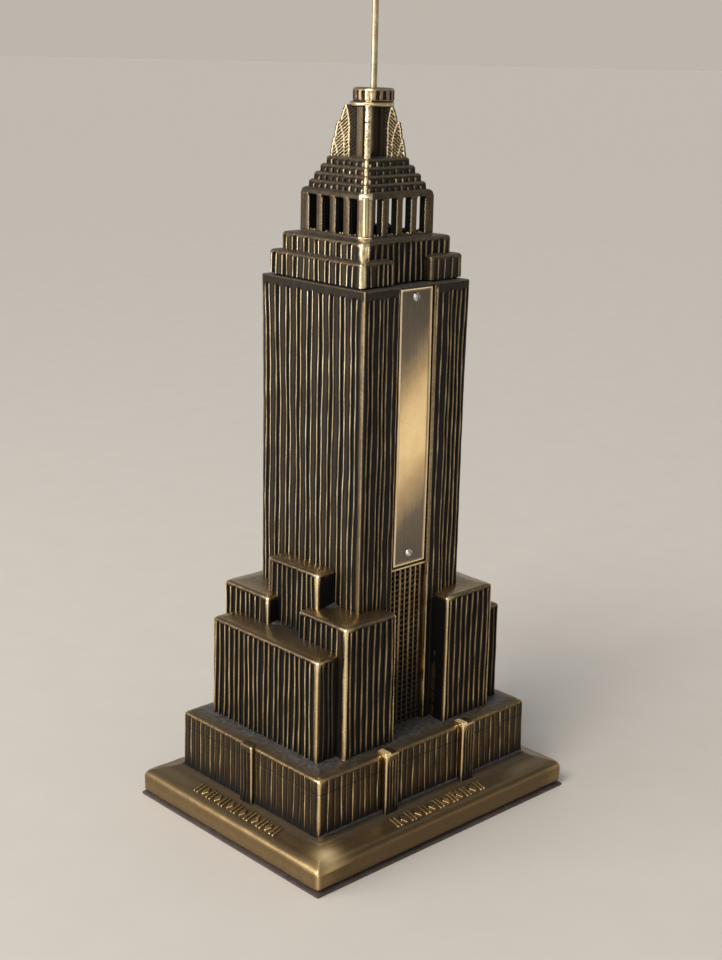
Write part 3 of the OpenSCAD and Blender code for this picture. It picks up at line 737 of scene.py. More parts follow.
def build_shaft(shell):
    """The ribbed shaft with its bays, its deck with a mouth, and the hollow under it."""
    w, d = SHAFT
    # Painted light and shade: the left and right sides get bright lines, while the front and back get dim
    # lines and black piers and are dull, painted black to their corners.
    flank = ribs(pairs(9, 8.07, 3.4, -1.6), -d / 2 + 1.2, d / 2 - 3.2, deep=0.9, pier=-0.36, bright=0.85,
                 wide=0.75)
    flank += strip(d, 2.8, 0.1)
    places = ([-33.0, -30.0, -25.8, -23.1, -20.5, -16.3], [17.3, 21.9, 24.3, 27.5, 30.3, 33.5])
    dim = {"deep": 0.85, "narrow": 3.5, "pier": -0.95, "bright": 0.5, "wide": 0.55}
    left, right = ribs(places[0], -35.0, -14.2, **dim), ribs(places[1], 14.2, 35.0, **dim)
    head = SHAFT_TOP - 0.7
    jamb = ((0.9, 0.0, -0.5), (0.35, 0.06, 0.55), (0.0, -0.15, 0.75), (-0.05, -BAY_DEPTH, -0.3))
    bay = [Column(side * (BAY + out), relief, tone, head) for side in (-1, 1) for out, relief, tone in jamb]
    front = [*left, *bay, Column(0.0, -BAY_DEPTH, -0.9, head), *right]
    base = outline(w, d, [front, flank, front, flank], corner=0.9, worn=(0.05, 0.28, 0.4), dull=(0, 2))
    rows = wall_rows(w, d, PODIUM_TOP - 2, SHAFT_TOP, header=4.2, rim=0.6, crown=0.0, foot=PODIUM_TOP + 1,
                     band=-0.25)
    rows = [r for r in rows if r.w > w - 3]
    rows.insert(-5, Row(head - 0.02, w, d, relief=1.0, tone=-0.2))
    flared = []
    for r in rows:
        wide = 1.1 * max(0.0, (r.z - 215) / 73) ** 1.5
        flared.append(r._replace(w=r.w + wide, d=r.d + wide))
    flared.append(Row(SHAFT_TOP, w - 5, d - 5, tone=-0.2, edge=0.0))
    for z, size, tone in ((SHAFT_TOP, (MOUTH[0] + 1, MOUTH[1] + 1), 0.0), (SHAFT_TOP - 0.4, MOUTH, 0.3),
                          (SHAFT_TOP - DECK, MOUTH, -0.6), (SHAFT_TOP - DECK - 0.2, HOLLOW, -0.9),
                          (BLOCK_TOP, HOLLOW, -1.2)):
        flared.append(Row(z, *size, tone=tone, edge=0.0))
    shell.loft(rings_of(base, w, d, flared, head=SHAFT_TOP - 4.2))


def build_bays(shell):
    """Behind the plaque, a flat land over a sill. Below it, and all the way up the back, a window grid."""
    face = SHAFT[1] / 2
    land = (-face + 2.2, INSIDE)
    box(shell, (-BAY - 0.6, BAY + 0.6), land, SILL_TOP - 1, SHAFT_TOP - 0.75, flat=0.0, edge=0.2, r=0.2)
    box(shell, (-BAY - 0.6, BAY + 0.6), (-face + 0.9, INSIDE), SILL_TOP - 1.3, SILL_TOP, flat=0.5,
        edge=0.85, r=0.25)
    box(shell, (BAY - 1.0, BAY + 1.1), (-face - 0.12, INSIDE), SILL_TOP - 1, SHAFT_TOP - 0.75, flat=0.15,
        edge=0.35, r=0.25)
    for side in (-1, 1):
        x = sorted((side * (BAY - 1.0), side * (BAY + 1.1)))
        box(shell, x, (-INSIDE, face + 0.12), PODIUM_TOP, SHAFT_TOP - 0.75, flat=0.0, edge=0.35, r=0.25)
        # A dark strip on the shaft's face in the inner corner at the side of the recess: painted shade.
        x = sorted((-side * (RECESS_X - 2.2), -side * (RECESS_X + 0.3)))
        y = sorted((side * (face + 0.45), -side * INSIDE))
        box(shell, x, y, PODIUM_TOP, BLOCK_TOP - 2, flat=-0.85, edge=-0.6)
    window_grid(shell, 0, SILL_TOP - 1.0)
    window_grid(shell, pi, SHAFT_TOP - 0.8)


def window_grid(shell, turn, top):
    """Uprights and bars up to a height, with black panes sunk between them, turned to the front or back."""
    pitch, bar, level, deep = 2.9, 0.95, SHAFT[1] / 2 - 3.2, -28.0
    columns = []
    for i in range(-3, 4):
        s, half, tone = i * 3.7, *((0.8, 0.3) if i % 2 else (0.4, 0.42))
        columns += [(s - half - 0.12, None, 0), (s - half, 0, 0.1), (s - half + 0.15, 0.1, tone),
                    (s + half - 0.15, 0.1, tone), (s + half, 0, 0.1), (s + half + 0.12, None, 0)]
    rings = []
    z = PODIUM_TOP - 1
    while z < top - pitch:
        shade = -0.5 * (1 - 1 / (1 + exp(-(z - 88) / 5)))
        for dz, sunk, low in ((0.0, -1.7, -1.1), (0.12, -0.35, -0.1), (bar - 0.12, -0.35, -0.1),
                              (bar, -1.7, -1.1)):
            ring = [(-BAY - 0.5, -level, z + dz, -0.8)]
            for s, out, tone in columns:
                depth, tone = (sunk, low) if out is None else (out, tone)
                ring.append((s + 0.12 * sin(z / 11 + s), -level - depth, z + dz, tone + shade))
            ring += [(BAY + 0.5, -level, z + dz, -0.8), (BAY + 0.5, deep, z + dz, -1),
                     (-BAY - 0.5, deep, z + dz, -1)]
            rings.append(ring)
        z += pitch
    rings.append([(x, y, top, t) for x, y, _, t in rings[-1]])
    rings = np.array(rings)
    x, y = rings[..., 0].copy(), rings[..., 1].copy()
    rings[..., 0], rings[..., 1] = cos(turn) * x - sin(turn) * y, sin(turn) * x + cos(turn) * y
    shell.loft(rings)


def build_tower():
    shell = Shell()
    build_plinth(shell)
    ornament(shell)
    build_podium(shell)
    build_pylons(shell)
    build_setbacks(shell)
    build_nooks(shell)
    build_shaft(shell)
    build_bays(shell)
    return shell


# ---------------------------------------------------------------- head casting

def build_head_tiers(shell):
    """The head's two ribbed tiers, the skirt in the shaft's mouth and four small feet."""
    w, d = UPPER
    notch = 12.5
    # Painted light and shade: the lines of the left and right sides are bright and those of the front and
    # back dimmer, and the plain faces of the notch are painted bright as lit faces.
    flank = lambda count, length, middle, **looks: ribs(
        pairs(count, 8.15, 3.5, middle, 0.35), -length / 2 + 0.6, length / 2 - 4.0, pier=-0.3, bright=0.85,
        **looks)
    for side in (-1, 1):
        x = sorted((side * HEAD_REACH[0] / 2, side * notch))
        places = ([-5.0, -0.2, 3.3, 6.3, 9.4], [-6.3, -1.5, 3.8, 8.8])
        front, back = [ribs(p, -10.4, 10.4, pier=-0.5, bright=0.5) for p in places[::-side]]
        sides = [front, [], back, []]
        sides[1 if side > 0 else 3] = flank(8, HEAD_REACH[1], -2.3)
        tier(shell, x, (-HEAD_REACH[1] / 2, HEAD_REACH[1] / 2), (HEAD_FOOT, LOWER_TOP), sides, header=1.5,
             rim=1.5, crown=0.7, corner=1.5, worn=SOFT, step=2.0, blank=0.6, rim_tone=0.15, top_tone=-0.1,
             loose=1.3)
    places = [-26.2 + 4.0 * i + rng.uniform(-0.25, 0.25) for i in range(14)]
    front = ribs(places, -w / 2 + 1.4, w / 2 - 1.4, narrow=4.6, pier=-0.5, bright=0.4)
    side = flank(7, d, -3.4)
    base = outline(w, d, [front, side, front, side], corner=1.5, worn=SOFT)
    rows = wall_rows(w, d, HEAD_FOOT + 0.02, UPPER_TOP, header=1.5, rim=1.5, crown=0.5, step=2.2,
                     rim_tone=0.12, top_tone=-0.1)
    inner = (CROWN[0] - 2 * CROWN_WALL - 0.4, CROWN[1] - 2 * CROWN_WALL - 0.4)
    rows = [r for r in rows if r.w > inner[0] + 6]
    for z, size, tone in ((UPPER_TOP + 0.5, inner, -0.8), (UPPER_TOP - 2.5, inner, -1),
                          (UPPER_TOP - 3.0, SKIRT_INSIDE, -1.1), (HEAD_LOW[2], SKIRT_INSIDE, -0.7),
                          (HEAD_LOW[2], SKIRT, -0.1), (HEAD_FOOT, SKIRT, -0.8)):
        rows.append(Row(z, *size, tone=tone, edge=0.0))
    shell.loft(rings_of(base, w, d, rows, head=UPPER_TOP - 1.6, loose=1.3), loop=True)
    for x in (-31, 31):
        for y in (-30, 30):
            box(shell, (x - 2.5, x + 2.5), (y - 2.5, y + 2.5), SHAFT_TOP, HEAD_FOOT + 1, flat=-0.5,
                edge=-0.2)


def crown_ring(inset, spread=0.0):
    """The window storey's outline: two corners filed flat, at the front left and back right."""
    w, d = CROWN[0] / 2 - inset + spread, CROWN[1] / 2 - inset + spread
    c = max(FACET - 0.6 * inset, 0.5)
    r = CROWN_ROUND
    half = []
    for x, y in ((-w + c, -d), (-w + c + 0.8, -d), (w - r, -d)):
        half.append((x, y))
    for turn in (22.5, 45, 67.5):
        a = radians(turn)
        half.append((w - r + r * sin(a), -d + r - r * cos(a)))
    half += [(w, -d + r), (w, d - c - 0.8), (w, d - c)]
    return half + [(-x, -y) for x, y in half]


def crown_loop(shell, z0, z1, tone, lintel):
    """A closed band round the window storey, over or under its windows."""
    tones = np.array([0.85, *[tone] * 7, 0.85] * 2)
    fine = lambda spread: np.array(crown_ring(0, spread))
    inner = np.array(crown_ring(CROWN_WALL))
    ring = lambda points, z, t: np.column_stack([points, np.full(len(points), z), t])
    rim = 2.0 if lintel else 0.4
    rings = [ring(fine(0.0), z0, tones - 0.1), ring(fine(0.0), z0 + 0.5, tones)]
    rings += [ring(fine(-rim * (1 - cos(a))), z1 - rim + rim * sin(a), tones + 0.1 * sin(2 * a))
              for a in (0.0, 0.45, 0.9, 1.25, 1.5)]
    # The inner faces are painted black, as shade inside the window storey.
    rings += [ring(inner, z1 - 0.3, np.full(len(inner), -0.9)), ring(inner, z0, np.full(len(inner), -1.0))]
    shell.loft(rings, loop=True)


def crown_place(k, points):
    """Points of the front side, turned to side k."""
    turn = Matrix.Rotation(radians(90 * k), 2)
    return [tuple(turn @ Vector(p)) for p in points]


def crown_slab(shell, k, x, depth, **looks):
    """A slab of side k as high as the windows, between two distances from the axis."""
    (a, b), (near, far) = x, depth
    corners = crown_place(k, [(a, -near), (b, -near), (b, -far), (a, -far)])
    prism(shell, corners, CROWN_LOW, CROWN_HIGH, **looks)


def window_corner(shell, k, s, inward, reach):
    """The rounded upper corner of a window head: a small curved web between its jamb and the lintel."""
    r, top = 1.5, WINDOW_HEAD - 0.2
    arc = [(s + inward * r * (1 - sin(a)), top - r * (1 - cos(a))) for a in np.linspace(0, pi / 2, 5)]
    shape = [(s - inward * 0.3, top + 0.3), (arc[0][0], top + 0.3), *arc, (s - inward * 0.3, arc[-1][1])]
    rings = []
    for depth, tone in ((reach - 0.15, -0.3), (reach - CROWN_SKIN, -0.8)):
        flat = crown_place(k, [(x, -depth) for x, _ in shape])
        rings.append([(*p, z, tone) for p, (_, z) in zip(flat, shape)])
    if inward < 0:
        rings = [ring[::-1] for ring in rings]
    shell.loft(rings[::-1])


def crown_piers(shell, k, reach):
    """The piers and window heads of side k: a face, a layer behind it painted black as shade, and a painted
    highlight down one edge.
    """
    behind = reach - CROWN_SKIN
    face = {"flat": -0.14, "edge": 0.12, "r": 0.5}
    for middle in (-WINDOW_PITCH, 0.0, WINDOW_PITCH):
        for grown, depth, looks in ((0.0, (reach, behind), face),
                                    (0.25, (behind - 0.7, reach - CROWN_WALL), CROWN_SHADE),
                                    (-0.2, (behind + 0.1, behind - 0.9), CROWN_SHADE)):
            crown_slab(shell, k, (middle - PIER - grown, middle + PIER + grown), depth, **looks)
    # seen: the edge of each pier that carries the painted highlight.
    seen = -1 if k % 2 == 0 else 1
    for middle in (-WINDOW_PITCH, 0.0, WINDOW_PITCH, -seen * (CROWN_EDGE + PIER)):
        x = sorted((middle + seen * (PIER + 0.06), middle + seen * (PIER - 0.45)))
        crown_slab(shell, k, x, (reach - 0.3, reach - 1.0), flat=0.65, edge=0.85, r=0.12)
    for i in range(4):
        for end in (-1, 1):
            window_corner(shell, k, (i - 1.5) * WINDOW_PITCH + end * WINDOW / 2, -end, reach)


def crown_corners(shell, k, reach, across):
    """The two corners of side k, of which the front left and back right ones are filed flat."""
    for side in (-1, 1):
        facet = FACET if (k % 2 == 0) == (side < 0) else 0.0
        face = [(side * CROWN_EDGE, -reach), (side * (across - facet), -reach)]
        face += [(side * across, -reach + FACET)] if facet else []
        face += [(side * across, -reach + CROWN_SKIN + facet), (side * CROWN_EDGE, -reach + CROWN_SKIN)]
        start = side * (CROWN_EDGE + 0.1)
        inner = [(start, -reach + CROWN_SKIN - 0.3), (side * (across - CROWN_SKIN),
                                                      -reach + CROWN_SKIN - 0.3),
                 (side * (across - CROWN_WALL), -reach + CROWN_WALL), (start, -reach + CROWN_WALL)]
        edge = 0.3 if facet else 0.08
        for corners, looks in ((face, {"flat": -0.14, "edge": edge, "r": 0.5}), (inner, CROWN_SHADE)):
            prism(shell, crown_place(k, corners[::side]), CROWN_LOW, CROWN_HIGH, **looks)


def crown_grit(shell, k, reach):
    """Lumps of rough casting on the window sills of side k."""
    for i in range(4):
        for _ in range(6):
            s = (i - 1.5) * WINDOW_PITCH + rng.uniform(-2.7, 2.7)
            x, y = crown_place(k, [(s, -reach + rng.uniform(0.5, 3.2))])[0]
            size = rng.uniform(0.3, 0.85)
            radii = (size * 0.9, size * 0.7, size * rng.uniform(0.7, 1.6))
            blob(shell, (x, y, WINDOW_SILL + 0.1), radii, rng.uniform(0.1, 0.9))


def build_crown(shell):
    """The window storey. Its walls are painted black inside as shade, and the windows of its back are blind:
    a slab behind them is painted dark as shade.
    """
    crown_loop(shell, UPPER_TOP - 0.5, WINDOW_SILL, -0.12, False)
    crown_loop(shell, WINDOW_HEAD - 0.6, CROWN_TOP, -0.1, True)
    for k in range(4):
        reach, across = CROWN[1 - k % 2] / 2, CROWN[k % 2] / 2
        crown_piers(shell, k, reach)
        crown_corners(shell, k, reach, across)
        # The slab behind the back windows, painted dark as shade.
        if k == 2:
            depth = (reach - 2.0, reach - CROWN_WALL)
            crown_slab(shell, k, (-CROWN_EDGE, CROWN_EDGE), depth, flat=-0.8, edge=-0.5)
        crown_grit(shell, k, reach)


def build_roof(shell):
    """Four shrinking steps, each with a row of small blocks along its riser."""
    for i, side in enumerate(ROOF_SIDES):
        z0, z1 = CROWN_TOP + i * ROOF_STEP, CROWN_TOP + (i + 1) * ROOF_STEP
        count = 9 - i
        pitch = (side - 3.2) / count
        blocks = []
        for j in range(count):
            a = -side / 2 + 1.6 + j * pitch
            glint = rng.uniform(0.35, 1.0)
            blocks += [Column(a + 0.2, -0.8, -0.8), Column(a + 0.55, 0.15, glint * 0.8),
                       Column(a + 1.0, 0.45, glint), Column(a + 1.35, 0.45, 0.1),
                       Column(a + pitch - 0.9, 0.35, -0.1), Column(a + pitch - 0.4, 0.0, -0.3),
                       Column(a + pitch - 0.1, -0.8, -0.8)]
        turned = sorted(Column(-c.s, c.relief, c.tone) for c in blocks)
        base = outline(side, side, [blocks, turned, blocks, turned], corner=1.5, worn=SOFT)
        rows = wall_rows(side, side, z0 - 0.6, z1, header=1.7, step=0.6, rim=1.5, crown=0.2, foot=z0 - 0.9,
                         rim_tone=0.25, band=0.0)
        shell.loft(rings_of(base, side, side, rows, head=z1 - 1.6, fade=0.7, loose=0.15))


def fin_reach(h):
    """How far a mast wing reaches from the axis at height h over the roof: three lobes, each set back."""
    for foot, top, r0, r1 in ((0.0, 9.15, 18.9, 17.4), (9.15, 17.2, 16.9, 15.6), (17.2, 99.0, 14.3, 12.0)):
        if h < top:
            f = min(max((h - foot) / (min(top, 24.5) - foot), 0.0), 1.0)
            return r0 + (r1 - r0) * f + 0.25 * sin(pi * f)
    return 12.0


def feather(r, h):
    """Relief and tone on a mast wing: three feathers with slanting barbs and raised edges."""
    outer = 9.6 + 1.6 * max(0.0, (h - 13) / 11.5) ** 2
    middle = 11.9 + 2.4 * max(0.0, (h - 5) / 11) ** 2
    inner = 15.0 + 2.2 * max(0.0, h / 8.2) ** 1.6
    reach = fin_reach(h)
    edges = [outer, middle if h < 16.6 else 99.0, inner if h < 8.6 else 99.0]
    if reach - r < 0.5:
        return 0.0, -0.1
    if reach - r < 1.15 or any(abs(r - e) < 0.36 for e in edges):
        return 0.3, 0.85
    barb = sin((h + 0.95 * r) * 2 * pi / 1.75)
    if r < outer:
        return (0.04, -0.1) if barb > 0.3 else (-0.04, -0.55)
    return (0.18, 0.6) if barb > 0.1 else (-0.14, -0.25)


def mast_core(shell):
    """The square core between the wings, with a recess down each side."""
    side = 2 * MAST_HALF
    wide = [Column(*c) for c in ((-4.6, -1.1, -0.45), (-1.0, -1.2, -0.4), (1.6, -1.1, -0.4),
                                 (2.0, -0.1, -0.2), (4.5, 0.0, -0.3))]
    split = [Column(*c) for c in ((-4.7, -1.0, -1), (-1.6, -1.0, -1), (-1.3, 0.1, -0.1), (0.8, 0.2, 0.02),
                                  (2.9, 0.1, -0.15), (3.2, -1.0, -1), (4.2, -0.9, -0.9))]
    base = outline(side, side, [wide, split, wide, split], corner=0.5, worn=(-0.3, 0.1, 0.3))
    rows = [Row(z, side, side, relief=1.0) for z in np.linspace(ROOF_TOP - 0.5, MAST_TOP + 0.5, 8)]
    shell.loft(rings_of(base, side, side, rows, loose=0.3))


def mast_wing(shell, k):
    """One of the four wings, on a diagonal of the roof."""
    steps, across = 88, 32
    a = radians(45 + 90 * k)
    u, v = np.array([cos(a), sin(a)]), np.array([-sin(a), cos(a)])
    rings = []
    for i in range(steps + 1):
        h = i / steps * (MAST_TOP - ROOF_TOP)
        z = ROOF_TOP + h + (-0.4 if i == 0 else 0.0) + (0.4 if i == steps else 0.0)
        reach = fin_reach(h) + 0.1 * sin(z * 2.1 + k)
        radii = np.linspace(5.0, reach - 0.25, across)
        sides = []
        for side in (-1, 1):
            for r in radii[::-side]:
                relief, tone = feather(r, h)
                thick = 1.45 - 0.3 * (r - 5) / 14 + relief
                sides.append((*(u * r + v * side * thick), z, tone))
        tip = [(*(u * (reach + out) + v * turn), z, tone)
               for out, turn, tone in ((0, -1.0, 0.1), (0.15, 0.0, 0.35), (0, 1.0, 0.1))]
        rings.append(sides[:across] + tip + sides[across:])
    shell.loft(rings)


def build_drum(shell):
    """The flange and the notched drum on top of the mast, each a little off centre."""
    notch = lambda turn, z: 0.5 if MAST_TOP + 3.3 < z < DRUM_TOP - 1.3 and sin(turn * 17) > 0.25 else 0.0
    flange = [(6.0, -0.5, -0.9), (10.0, -0.3, -0.6), (10.7, 0, 0.1), (11.0, 0.6, 0.6), (11.0, 1.4, 0.6),
              (10.7, 2.0, 0.4), (9.5, 2.3, -0.3)]
    foot = [(9.0, 1.0, -0.4), (10.0, 2.3, -0.5), (10.15, 2.8, 0.1), (DRUM_R, 3.1, 0.2),
            (DRUM_R, 3.35, 0.25)]
    head = [(DRUM_R, 1.45, 0.25), (DRUM_R, 1.2, 0.3), (10.1, 0.45, 0.5), (9.6, 0.08, 0.3), (8.6, 0, 0.05),
            (2.2, 0, -0.1), (1.75, 0.3, -0.8)]
    above = lambda rows: [(r, MAST_TOP + z, tone) for r, z, tone in rows]
    lathe(shell, above(flange), around=96, centre=FLANGE_AT)
    body = above(foot) + [(r, DRUM_TOP - z, tone) for r, z, tone in head]
    lathe(shell, body, around=144, cut=notch, centre=DRUM_AT)


def build_mast(shell):
    """The winged mast with its drum."""
    mast_core(shell)
    for k in range(4):
        mast_wing(shell, k)
    build_drum(shell)


def filed_seam(points, tone, filed):
    """Brightens the mould's parting line, filed down the front left and back right corners of the head."""
    x, y, z = points[:, :3].T
    corner = np.abs(x) + np.abs(y)
    patch = np.array([noise.noise(Vector(p[:3]) / 2.0) for p in points])
    levels = [z > ROOF_TOP, z > CROWN_TOP, z > UPPER_TOP, z > LOWER_TOP]
    width = np.select(levels, [2.2, 1.1, 1.0, 3.9], 1.8)
    near = (np.abs(x - y) < width) & (corner > np.where(z > ROOF_TOP, 10, 22)) & (x * y > 0)
    facet = (np.abs(x - y) < FACET) & (corner > sum(CROWN) / 2 - FACET - 0.7) & (x * y > 0)
    facet &= (z > UPPER_TOP) & (z < CROWN_TOP)
    tone[near] = np.maximum(tone[near], 0.75 + 0.5 * patch[near])
    tone[facet] = np.maximum(tone[facet], 0.7 + 0.2 * patch[facet])
    filed[facet] = 0.25


def painted_highlights_and_shade(points, tone, filed):
    """Paints highlights on the plinth at its front left and back right corners and on the top corners of the
    blocks there, and paints shade on the plinth's front and back skirts.
    """
    x, y, z = points[:, :3].T
    across, back = PLINTH[0] / 2 - np.abs(x), PLINTH[1] / 2 - np.abs(y)
    far = np.hypot((across - 10.5) / 1.15, back - 7.0)
    near = (x * y > 0) & (z < PLINTH_FOOT) & (z > 11)
    # A painted highlight patch on the plinth's corner, which also turns rougher and less metallic.
    highlight_patch = (0.75 + 0.25 * np.tanh((across - back) / 3)) * np.exp(-(far / 8.5) ** 2)
    tone[near] += 0.75 * highlight_patch[near]
    filed[near] += highlight_patch[near]
    # Painted shade: the plinth's front and back skirts are darker.
    front = np.clip((across - 5) / 12, 0, 1) * (back < 2) * (z < PLINTH_SHOULDER)
    tone -= 0.14 * front
    # Painted highlights on the top corners of the wings, blocks, pylons and podium.
    for place in ((WING_X, WING_Y, WING_TOP), (BLOCK_X, BLOCK_Y, BLOCK_TOP), (INNER_X, INNER_Y, INNER_TOP),
                  (BLOCK_X, -RECESS_Y, BLOCK_TOP), (-RECESS_X, BLOCK_Y, BLOCK_TOP),
                  (33.2, 58.4, PODIUM_TOP + 1), (-23.8, 58.4, PODIUM_TOP + 1),
                  (PODIUM[0] / 2, PODIUM[1] / 2, PODIUM_TOP)):
        for turn in (1, -1):
            at = (turn * place[0], turn * place[1], place[2])
            far = np.linalg.norm(points[:, :3] - np.array(at), axis=1)
            tone += np.where(tone > -0.5, 0.6, 0.0) * np.exp(-(far / 4.5) ** 2)


def build_head():
    shell = Shell()
    build_head_tiers(shell)
    build_crown(shell)
    build_roof(shell)
    build_mast(shell)
    return shell


# ---------------------------------------------------------------- plaque, screws, bottom sheet

def lipped(low, high, lip, count):
    """Places across a plate, close together on the lips at its two edges."""
    edge = (0.0, 0.15, 0.5, 1.0, lip)
    middle = np.linspace(low + lip + 0.5, high - lip - 0.5, count)
    return [*(low + e for e in edge), *middle, *(high - e for e in reversed(edge))]


def build_plaque():
    """A thin plate with a raised lip. It bows forward between its screws, and a slanting band of painted
    reflection crosses its face.
    """
    shell = Shell()
    lip, rows, columns = 1.45, 60, 24
    x0, x1 = PLATE_LOW[0], PLATE_HIGH[0]
    z0, z1 = PLATE_LOW[2], PLATE_HIGH[2]
    back = PLATE_HIGH[1]
    face, proud = back - 0.8, back - 1.5
    across = lipped(x0, x1, lip, columns)
    rings = []
    for z in lipped(z0, z1, lip, rows):
        bow = 0.42 * sin(pi * (z - z0) / (z1 - z0)) ** 1.5
        front = []
        for x in across:
            edge = min(x - x0, x1 - x, z - z0, z1 - z)
            # A painted reflection, in a slanting band across the plate.
            painted_reflection = exp(-abs((z - REFLECTION_Z - 0.9 * (x - x0)) / REFLECTION_REACH) ** 2.4)
            if edge < 0.05:
                depth, tone = face, 0.45
            elif edge < lip - 0.2:
                depth, tone = proud + (0.25 if edge < 0.3 else 0.0), 0.9
            elif edge < lip + 0.2:
                depth, tone = face, 0.5
            else:
                depth, tone = face, 0.19 + 0.6 * painted_reflection
            front.append((x, depth - bow, z, tone))
        rings.append(front + [(x1, back - bow, z, 0.0), (x0, back - bow, z, 0.0)])
    shell.loft(rings)
    return shell


def screw_mesh(shell, at, reach, head_r, head_h, slot_turn):
    """A round-head screw along -Y with a sawn slot: a dome in rings, sunk along the slot."""
    half, deep, around, rows = 0.42, 1.0, 96, 16
    c, s = cos(slot_turn), sin(slot_turn)
    ball = (head_r ** 2 + head_h ** 2) / (2 * head_h)
    rings = [[(at[0] + 1.2 * cos(t), at[1] + reach, at[2] + 1.2 * sin(t), 0.0)
              for t in np.arange(around) / around * 2 * pi]]
    for r in [1.2, head_r - 0.1, head_r, *np.linspace(head_r - 0.06, 0.05, rows)]:
        first = len(rings) < 3
        ring = []
        for t in np.arange(around) / around * 2 * pi:
            x, z = r * cos(t), r * sin(t)
            across = abs(c * x + s * z)
            out = 0.0 if first else sqrt(max(ball ** 2 - r ** 2, 0)) - (ball - head_h)
            sink = 0.0 if first or across > half else min(deep, max(out - 0.1, 0))
            ring.append((at[0] + x, at[1] - out + sink, at[2] + z, 0.0))
        rings.append(ring)
    shell.loft(rings)


def build_screws():
    shell = Shell()
    low, high = node_mm("plaque_screws")
    head_r = (high[0] - low[0]) / 2
    for z, turn in ((low[2] + head_r, 0.5), (high[2] - head_r, -0.25)):
        screw_mesh(shell, (0.0, PLATE_HIGH[1] - 0.95, z), 6.8, head_r - 0.05, 1.65, turn)
    return shell


def build_sheet():
    """The sheet under the plinth, a little out of flat at its front edge."""
    shell = Shell()
    w, d = SHEET_HIGH[0] * 2, SHEET_HIGH[1] * 2
    sides = [even(length, 4, 3) for length in (w, d, w, d)]
    base = outline(w, d, sides, corner=1.0, worn=(0.0, 0.0, 0.0))
    top = SHEET_HIGH[2]
    rows = [Row(z, w - less, d - less) for z, less in (
        (0.0, 0.5), (0.2, 0), (top - 1.0, 0), (top - 0.8, 0.4), (top - 0.8, 3.4), (top - 0.35, 4.4),
        (top - 0.35, 9))]
    rings = np.array(rings_of(base, w, d, rows))
    corner = np.exp(-((rings[..., 0] - 52) / 9) ** 2) * (rings[..., 1] < 0)
    lift = 0.4 * corner + 0.15 * np.sin(rings[..., 0] / 17)
    rings[2:, :, 2] += np.minimum(lift[2:], 0.3)
    shell.loft(rings)
    return shell


# ---------------------------------------------------------------- put together

bronze = antique_bronze("antique_bronze")
brass = drawn_brass("drawn_brass")
steel = plated_steel("plated_steel")


def add(name, shell, material, body, node, slot, **settings):
    """Makes a piece that rides on a body in the place of a CAD node."""
    made = make_object(name, shell, material, **settings)
    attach(made, body)
    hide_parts(node)
    return made


add("tower_casting_surface", build_tower(), bronze, "tower", "tower_casting", "antique_bronze", wobble=0.16,
    tone_shift=painted_highlights_and_shade)
add("head_casting_surface", build_head(), bronze, "head", "head_casting", "antique_bronze", wobble=0.13,
    tone_shift=filed_seam)
add("plaque_plate_bowed", build_plaque(), brushed_brass("satin_brass"), "tower", "plaque_plate",
    "plaque_brass")
add("plaque_screws_slotted", build_screws(), steel, "tower", "plaque_screws", "plated_steel", sharp=35)
add("bottom_sheet_fibre", build_sheet(), fibre_board("fibre_board"), "tower", "bottom_sheet", "fibre_sheet")

for node, material in (("spire_rod", brass), ("spire_nut", brass), ("bottom_screws", steel)):
    for slot in frame["nodes"][node].material_slots:
        slot.material = material


# ---------------------------------------------------------------- studio

def floor():
    mesh = bpy.data.meshes.new("floor")
    side = 60.0
    corners = [(-side, -side, 0), (side, -side, 0), (side, side, 0), (-side, side, 0)]
    mesh.from_pydata(corners, [], [(0, 1, 2, 3)])
    made = bpy.data.objects.new("floor", mesh)
    bpy.context.scene.collection.objects.link(made)
    n = Nodes("pale_floor")
    grain = n.noise(30.0, 3.0)
    colour = n.ramp(grain, [(0.3, (0.73, 0.68, 0.61)), (0.7, (0.75, 0.70, 0.63))])
    mesh.materials.append(n.surface(Base_Color=colour, Roughness=0.6))


def area_light(name, place, target, size, power, colour):
    data = bpy.data.lights.new(name, "AREA")
    data.shape = "RECTANGLE"
    data.size, data.size_y = size
    data.energy, data.color = power, colour
    lamp = bpy.data.objects.new(name, data)
    lamp.location = place
    lamp.rotation_mode = "QUATERNION"
    lamp.rotation_quaternion = (Vector(target) - Vector(place)).to_track_quat("-Z", "Y")
    bpy.context.scene.collection.objects.link(lamp)


def sun(name, towards, power, colour, spread):
    data = bpy.data.lights.new(name, "SUN")
    data.energy, data.color, data.angle = power, colour, radians(spread)
    lamp = bpy.data.objects.new(name, data)
    lamp.rotation_mode = "QUATERNION"
    lamp.rotation_quaternion = Vector(towards).to_track_quat("-Z", "Y")
    bpy.context.scene.collection.objects.link(lamp)


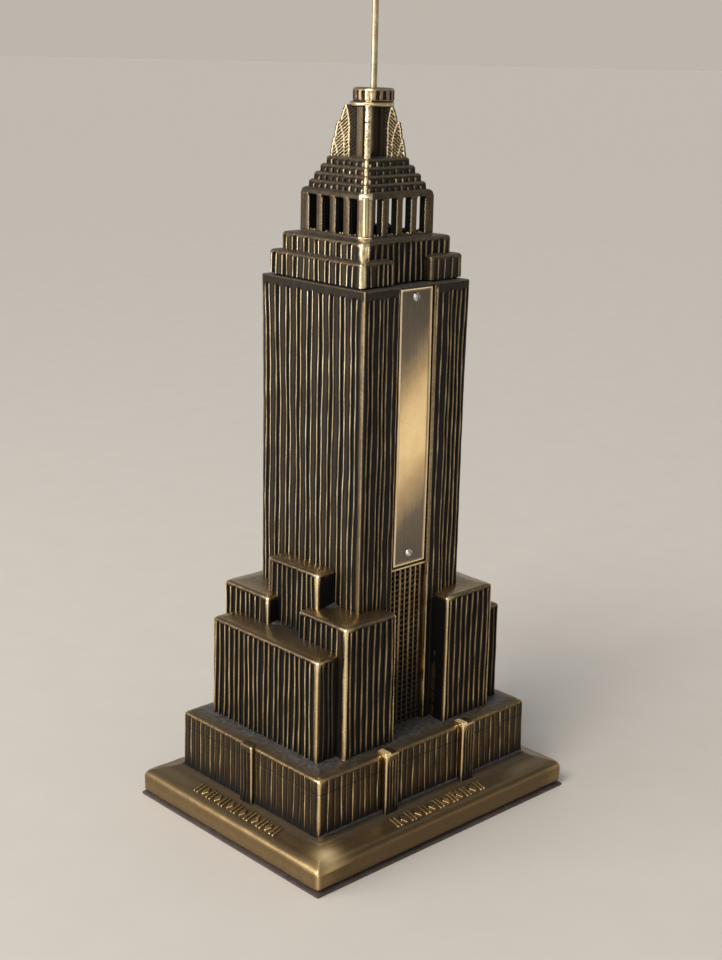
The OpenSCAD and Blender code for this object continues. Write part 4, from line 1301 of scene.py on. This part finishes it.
def world():
    """A soft studio: brighter low down and towards the left, dimmer overhead and to the right."""
    surroundings = bpy.data.worlds.new("studio")
    bpy.context.scene.world = surroundings
    surroundings.use_nodes = True
    n = Nodes(tree=surroundings.node_tree)
    way = n.add("ShaderNodeSeparateXYZ", {0: n.add("ShaderNodeTexCoord").outputs["Generated"]})
    low = n.grey(way.outputs["Z"], [(0.05, 0.56), (0.35, 0.38), (1.0, 0.3)])
    tint = n.ramp(way.outputs["Z"], [(0.03, (0.918, 0.836, 0.738)), (0.09, (0.99, 0.94, 0.88)),
                                     (0.35, (0.96, 0.97, 1.0))])
    left = n.times(n.grey(n.times(way.outputs["X"], -1.0), [(0.2, 0.0), (0.9, 1.0)]), 0.6)
    background = surroundings.node_tree.nodes["Background"]
    surroundings.node_tree.links.new(tint, background.inputs["Color"])
    surroundings.node_tree.links.new(n.math("ADD", low, left), background.inputs["Strength"])


def camera():
    """The eye is level with the top of the head, in front of the tower's left corner."""
    place = Vector((-0.5423, -0.5718, 0.4029))
    yaw, pitch, roll = (radians(a) for a in (43.48, 15.80, 1.23))
    forward = Vector((sin(yaw) * cos(pitch), cos(yaw) * cos(pitch), -sin(pitch)))
    right = Vector((cos(yaw), -sin(yaw), 0))
    up = right.cross(forward)
    tilted = right * cos(roll) + up * sin(roll)
    data = bpy.data.cameras.new("camera")
    data.sensor_width, data.lens = 36.0, 58.08
    data.clip_start, data.clip_end = 0.01, 30.0
    made = bpy.data.objects.new("camera", data)
    turned = Matrix((tilted, tilted.cross(forward), -forward)).transposed().to_4x4()
    made.matrix_world = Matrix.Translation(place) @ turned
    bpy.context.scene.collection.objects.link(made)
    bpy.context.scene.camera = made


floor()
world()
sun("key", (1.2, 0.25, -1.15), 1.35, (1.0, 0.95, 0.87), 26)
sun("corner", (0.70, 0.71, -0.12), 0.22, (1.0, 0.96, 0.88), 16)
area_light("left_panel", (-1.3, 0.47, 0.42), (0, 0, 0.18), (1.0, 0.56), 10.3, (1.0, 0.97, 0.94))
area_light("plaque_panel", (0.345, -0.40, 0.085), (0, -0.03, 0.2), (0.30, 0.15), 0.11, (1.0, 0.89, 0.72))
camera()
bpy.context.scene.view_settings.view_transform = "Standard"
